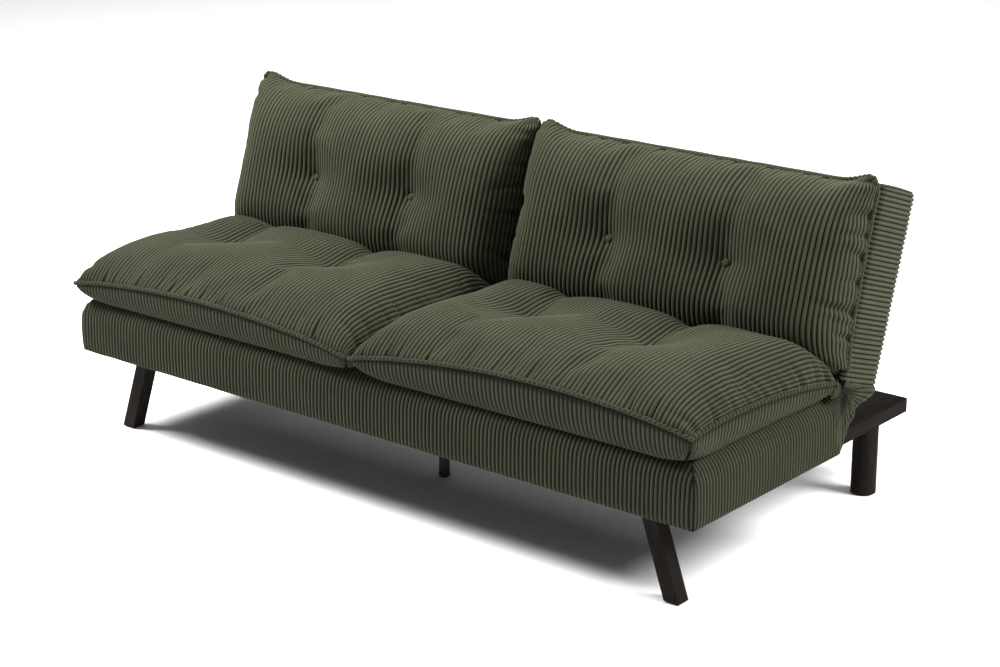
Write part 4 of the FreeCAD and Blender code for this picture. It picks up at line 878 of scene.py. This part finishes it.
# %% Covered buttons
def button_mesh(centre, across, up, out, angle, radius=11 * MM, height=6.5 * MM):
    """angle is how far the scrap's wales are turned on the button."""
    rings, turns = 9, 24
    r = np.sin(np.linspace(0, np.pi / 2, rings))[:, None] * radius
    t = np.linspace(0, 2 * np.pi, turns, endpoint=False)[None, :]
    x, y = r * np.cos(t), r * np.sin(t)
    h = height * np.sqrt(np.maximum(1 - (r / radius) ** 2, 0)) + 0 * t
    wale = wale_section((x * math.cos(angle) + y * math.sin(angle)) / (0.6 * WALE) + 0.5)
    # the wale fades to 0 at the rim, which paints a ring of nearly black valley shade where the button meets the
    # cushion
    wale = wale * smooth01((radius - r) / (2 * MM)) + 0 * t
    flat = np.array([[0, 0, -2 * MM]])
    rim = np.stack([x[-1] * 0.92, y[-1] * 0.92, 0 * x[-1] - 2 * MM], -1)
    h = h + 1.1 * MM * wale
    dome_points = np.stack([x + 0 * t, y + 0 * t, h], -1).reshape(-1, 3)
    local = np.concatenate([dome_points, rim, flat])
    n = rings * turns
    quads = []
    for i in range(rings):
        for j in range(turns):
            a, b = i * turns + j, i * turns + (j + 1) % turns
            c, d = (a + turns, b + turns) if i < rings - 1 else (n + j, n + (j + 1) % turns)
            quads.append([a, c, d, b])
    quads += [[n + j, n + turns, n + turns, n + (j + 1) % turns] for j in range(turns)]
    world = centre + local[:, :1] * across + local[:, 1:2] * up + local[:, 2:] * out
    return world, np.array(quads), np.concatenate([wale.reshape(-1), np.zeros(turns + 1)])


points, quads, value, start = [], [], [], 0
for k, spot in enumerate(back_tufts):
    p, q, v = button_mesh(spot - REAR * 1.5 * MM, np.array([1.0, 0, 0]), UP, -REAR, angle=0.5 + 0.3 * k)
    points.append(p), quads.append(q + start), value.append(v)
    start += len(p)
p, q, v = weld(np.concatenate(points), np.concatenate(quads), np.concatenate(value), tol=1e-6)
buttons = mesh_piece("back_covered_buttons", p, q, {"wale": v})
buttons.data.materials.append(corduroy)
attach(buttons, "backrest")
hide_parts("back_buttons")
print("buttons at", [tuple(np.round(b, 3)) for b in back_tufts])

# %% [markdown]
# ### Stitches and staples
# Two more things repeat along a line: the tying stitches at the bottom of each seat tuft, and the staples that hold
# the hem under the seat. Both are one small bar laid along a path, so they share a tree from the same helper.

# %% Node group for bars along a path
bars = path_tree("bars_along_path", {"Spacing": 0.04, "Length": 0.01, "Width": 0.0013},
                 "GeometryNodeMeshCylinder", {"Vertices": 6, "Radius": 0.5, "Depth": 1.0},
                 "Z", ("Width", "Width", "Length"))

# %% [markdown]
# ## Finishes for the frame
# The arms, legs and rear rail are stained nearly black, with the grain just showing and slow patches where the stain
# took a little deeper. The hidden frame is plain sawn softwood. The steel parts are plated, phosphated or painted.

# %% Wood
def wood_finish(name, dark, light, stretch, scale, rough):
    m, nodes, links, shader, coord = new_material(name)
    grain = noise(nodes, links, coord, scale, 6.0, stretch, 0.65)
    fine = noise(nodes, links, coord, scale * 9, 3.0, stretch, 0.6)
    body = ramp(nodes, links, grain, [(0.32, dark), (0.72, light)])
    pores = ramp(nodes, links, fine, [(0.38, (0.55, 0.53, 0.50)), (0.6, WHITE)])
    body = multiply(nodes, links, body, pores, 0.75)
    patches = noise(nodes, links, coord, 5.0, 2.0)
    tones = ramp(nodes, links, patches, [(0.35, (0.82, 0.82, 0.82)), (0.7, (1.0, 0.98, 0.96))])
    body = multiply(nodes, links, body, tones, 1.0)
    links.new(body, shader.inputs["Base Color"])
    links.new(level(nodes, links, fine, rough - 0.08, rough + 0.12), shader.inputs["Roughness"])
    shader.inputs["Specular IOR Level"].default_value = 0.02
    bump(nodes, links, shader, fine, 0.25, 0.0006)
    return m


BOARD_STAIN = (0.0058, 0.0044, 0.0038), (0.0130, 0.0096, 0.0084)
LEG_STAIN = (0.0095, 0.0079, 0.0070), (0.0205, 0.0168, 0.0150)
espresso_along_y = wood_finish("espresso_stain_boards", *BOARD_STAIN, (14, 1, 14), 3.0, 0.55)
espresso_along_z = wood_finish("espresso_stain_legs", *LEG_STAIN, (14, 14, 1), 3.0, 0.52)
espresso_along_x = wood_finish("espresso_stain_rail", *BOARD_STAIN, (1, 14, 14), 3.0, 0.55)
softwood = wood_finish("sawn_softwood", (0.36, 0.24, 0.13), (0.55, 0.40, 0.24), (1, 12, 12), 2.5, 0.75)


# %% Metals, plastic, lining and foam
def metal_finish(name, colour, rough, metallic=1.0, scale=160.0, depth=0.12):
    m, nodes, links, shader, coord = new_material(name)
    spots = noise(nodes, links, coord, scale, 4.0)
    dull = noise(nodes, links, coord, 14.0, 3.0)
    body = ramp(nodes, links, spots, [(0.3, tuple(0.78 * v for v in colour)), (0.7, colour)])
    links.new(body, shader.inputs["Base Color"])
    shader.inputs["Metallic"].default_value = metallic
    links.new(level(nodes, links, dull, rough - 0.06, rough + 0.1), shader.inputs["Roughness"])
    bump(nodes, links, shader, spots, depth, 0.0004)
    return m


def lining_finish():
    m, nodes, links, shader, coord = new_material("black_nonwoven_lining")
    cells = nodes.new("ShaderNodeTexVoronoi")
    cells.inputs["Scale"].default_value = 380.0
    links.new(coord, cells.inputs["Vector"])
    body = ramp(nodes, links, cells.outputs["Distance"], [(0.1, (0.006, 0.006, 0.006)), (0.6, (0.022, 0.022, 0.022))])
    links.new(body, shader.inputs["Base Color"])
    settle(shader, {"Roughness": 0.95, "Specular IOR Level": 0.08})
    bump(nodes, links, shader, cells.outputs["Distance"], 0.4, 0.0006)
    return m


zinc = metal_finish("zinc_plate", (0.52, 0.52, 0.50), 0.34)
phosphate = metal_finish("hinge_phosphate_steel", (0.045, 0.046, 0.048), 0.42, 0.9)
black_paint = metal_finish("black_powder_coat", (0.012, 0.012, 0.012), 0.5, 0.0, 420.0, 0.3)
plastic = metal_finish("black_moulded_plastic", (0.014, 0.014, 0.015), 0.46, 0.0, 240.0, 0.2)
lining = lining_finish()
thread = metal_finish("olive_thread", (0.035, 0.040, 0.022), 0.75, 0.0, 900.0, 0.4)

SLOT_FINISH = {"espresso_wood": espresso_along_z, "raw_timber": softwood, "zinc_steel": zinc, "hinge_steel": phosphate,
               "black_steel": black_paint, "black_plastic": plastic, "lining": lining, "foam": lining,
               "corduroy": corduroy}
NODE_FINISH = {"left_arm": espresso_along_y, "right_arm": espresso_along_y, "rear_rail": espresso_along_x}
for node, piece in frame["nodes"].items():
    for held in piece.material_slots:
        held.material = NODE_FINISH.get(node, SLOT_FINISH[held.material.name.split(".")[0]])
print("finishes on", len(frame["nodes"]), "frame parts")

# %% Staples and tuft ties
HEM_IN = 22 * MM
hem_x, hem_z = HALF - HEM_IN, b0 - 0.9 * MM
hem_y0, hem_y1 = float(base_low[1]) + HEM_IN, float(base_high[1]) - HEM_IN
hem = [(-hem_x, hem_y0, hem_z), (hem_x, hem_y0, hem_z), (hem_x, hem_y1, hem_z), (-hem_x, hem_y1, hem_z)]
staples = grown("hem_staples", path_object("hem_line", hem), bars,
                {"Spacing": 0.042, "Length": 0.011, "Width": 0.0014, "Finish": zinc})
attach(staples, "base")
ties = []
for k, spot in enumerate(seat_tufts):
    line = [tuple(spot + np.array([dx, dx * 0.35, 1.2 * MM])) for dx in (-8 * MM, 8 * MM)]
    ties.append(grown(f"seat_tuft_tie_{k + 1}", path_object("tie", line, closed=False), bars,
                      {"Spacing": 0.0055, "Length": 0.0045, "Width": 0.0022, "Finish": thread}))
    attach(ties[-1], "base")
print("staples:", len(staples.data.polygons), "faces; ties:", len(ties))

# %% [markdown]
# ## Hinge gussets
# At each end of the hinge a loose fan of corduroy joins the side of the base to the end of the back. Its cords
# radiate from a point just ahead of the hinge. The longest lie along the base's rear edge and along the foot of the
# back, and short ones go on nearly all the way round, so that the hinge plates are covered. On the real sofa it
# closes like a fan as the back goes down; here it is attached to neither body.

# %% Hinge gussets
FACE_X, INNER_X, OUTER_X = 899.5 * MM, 899 * MM, 905 * MM  # where the fan lies, and its limits inward and outward
GUSSET_THICK = 2.5 * MM
FAN_FIRST, FAN_LAST, FAN_RIBS = -240, 60, 47  # degrees from straight back, and how many cords
FAN_STOPS = [-240, -182, -120, -106, -93, -87, -83, -73, -57, -45, -33, -24, -16, -12, -5, 17, 34, 60]
FAN_REACH = [24, 40, 56, 75, 140, 146, 121, 102, 89, 86, 92, 124, 151, 149, 80, 34, 30, 26]


def gusset(name, side, node):
    fans, steps = FAN_RIBS * COLS + 1, 17
    degrees = np.linspace(FAN_FIRST, FAN_LAST, fans)[None, :]
    t = np.linspace(0.03, 1, steps)[:, None]
    phi = np.clip((degrees + 92) / 82, 0, 1)
    centre = np.array([HINGE_Y - 22 * MM, HINGE_Z + 14 * MM])
    angle = np.radians(degrees)
    reach = np.interp(degrees, FAN_STOPS, np.array(FAN_REACH) * MM)
    y, z = centre[0] + reach * t * np.cos(angle), centre[1] + reach * t * np.sin(angle)
    puff = 3.0 * MM * np.sin(np.pi * phi) * np.sin(np.pi * t) - 1.5 * MM * (1 - t) ** 2
    wrinkle = 1.8 * MM * np.sin(2 * np.pi * (phi * 3.3 + t * 0.9)) * np.sin(np.pi * phi) * smooth01(t / 0.5)
    gather = 1.4 * MM * np.sin(2 * np.pi * (t * 3.2 + phi * 0.7)) * np.sin(np.pi * phi)
    rise = wale_section((degrees - FAN_FIRST) / (FAN_LAST - FAN_FIRST) * FAN_RIBS)
    # near the centre of the fan the wale fades to 0, which paints it with the nearly black valley shade
    rise = rise * smooth01((t - 0.1) / 0.4) * smooth01((1 - t) / 0.04 + 0.4)
    x = FACE_X + puff + wrinkle + gather + PILE * 0.85 * (rise - 0.4)
    # well ahead of the hinge the fan settles on to the rolled shoulder of the base
    climb = np.clip((z - (b1 - ROLL)) / ROLL, 0, 0.98)
    shoulder = HALF - ROLL * (1 - np.sqrt(1 - climb ** 2)) + 0.6 * MM
    ahead = smooth01((HINGE_Y - 34 * MM - y) / (26 * MM))
    x = np.where(z < b1, x + (np.minimum(x, shoulder) - x) * ahead, x)
    x = np.minimum(x, OUTER_X) + 0 * y
    hem_roll = smooth01((t - 0.9) / 0.1) * 3 * MM
    outer = np.stack([side * (x - hem_roll), y, z], -1).reshape(-1, 3)
    inner = np.stack([side * (np.minimum(x, INNER_X) - GUSSET_THICK), y, z], -1).reshape(-1, 3)
    faces, _ = two_skins(steps, fans)
    if side < 0:
        faces = faces[:, ::-1]
    # the inner skin has a wale of 0, which paints it with the nearly black valley shade
    wale = np.concatenate([rise.reshape(-1), rise.reshape(-1) * 0])
    piece = mesh_piece(name, np.concatenate([outer, inner]), faces, {"wale": wale})
    piece.data.materials.append(base_corduroy_painted_shade)
    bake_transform(piece)
    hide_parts(node)
    return piece


for side, word in ((-1, "left"), (1, "right")):
    piece = gusset(word + "_hinge_gusset_corduroy", side, word + "_hinge_gusset")
    print(piece.name, len(piece.data.polygons), "faces")

# %% [markdown]
# ## Studio and camera
# A pale floor, a soft key from the upper left, a fill from the right, and a wide top light that stands well behind.

# %% Studio and camera
def area_light(name, place, aim, size, power):
    data = bpy.data.lights.new(name, "AREA")
    data.size, data.energy = size, power
    light = bpy.data.objects.new(name, data)
    light.location = place
    light.rotation_euler = (Vector(aim) - Vector(place)).to_track_quat("-Z", "Y").to_euler()
    scene.collection.objects.link(light)


FLOOR = 30.0
floor_points = np.array([[-FLOOR, -FLOOR, 0], [FLOOR, -FLOOR, 0], [FLOOR, FLOOR, 0], [-FLOOR, FLOOR, 0]])
floor = mesh_piece("studio_floor", floor_points, np.array([[0, 1, 2, 3]]))
floor_finish, _, _, shader, _ = new_material("pale_floor")
settle(shader, {"Base Color": (0.86, 0.86, 0.86, 1), "Roughness": 0.7})
floor.data.materials.append(floor_finish)
area_light("key_left", (-2.6, -1.6, 3.6), (0, 0, 0.4), 1.5, 460)
area_light("fill_right", (3.4, 1.2, 3.0), (0, 0.1, 0.4), 1.6, 310)
area_light("overhead", (0.0, 3.0, 7.0), (0, 3.0, 0.0), 15.0, 1150)
world = bpy.data.worlds.new("studio")
world.use_nodes = True
settle(world.node_tree.nodes["Background"], {"Color": (1, 1, 1, 1), "Strength": 0.15})
scene.world = world
scene.view_settings.view_transform = "Standard"

CAMERA_PLACE, CAMERA_DOWN, CAMERA_TURN = (3.141, -3.7965, 1.8876), 16.92, 39.27
camera_data = bpy.data.cameras.new("camera")
camera_data.lens, camera_data.sensor_width = 80.04, 36
camera_data.shift_x, camera_data.shift_y = -0.0033, -0.035
camera = bpy.data.objects.new("camera", camera_data)
camera.location = CAMERA_PLACE
camera.rotation_euler = (math.radians(90 - CAMERA_DOWN), 0, math.radians(CAMERA_TURN))
scene.collection.objects.link(camera)
scene.camera = camera
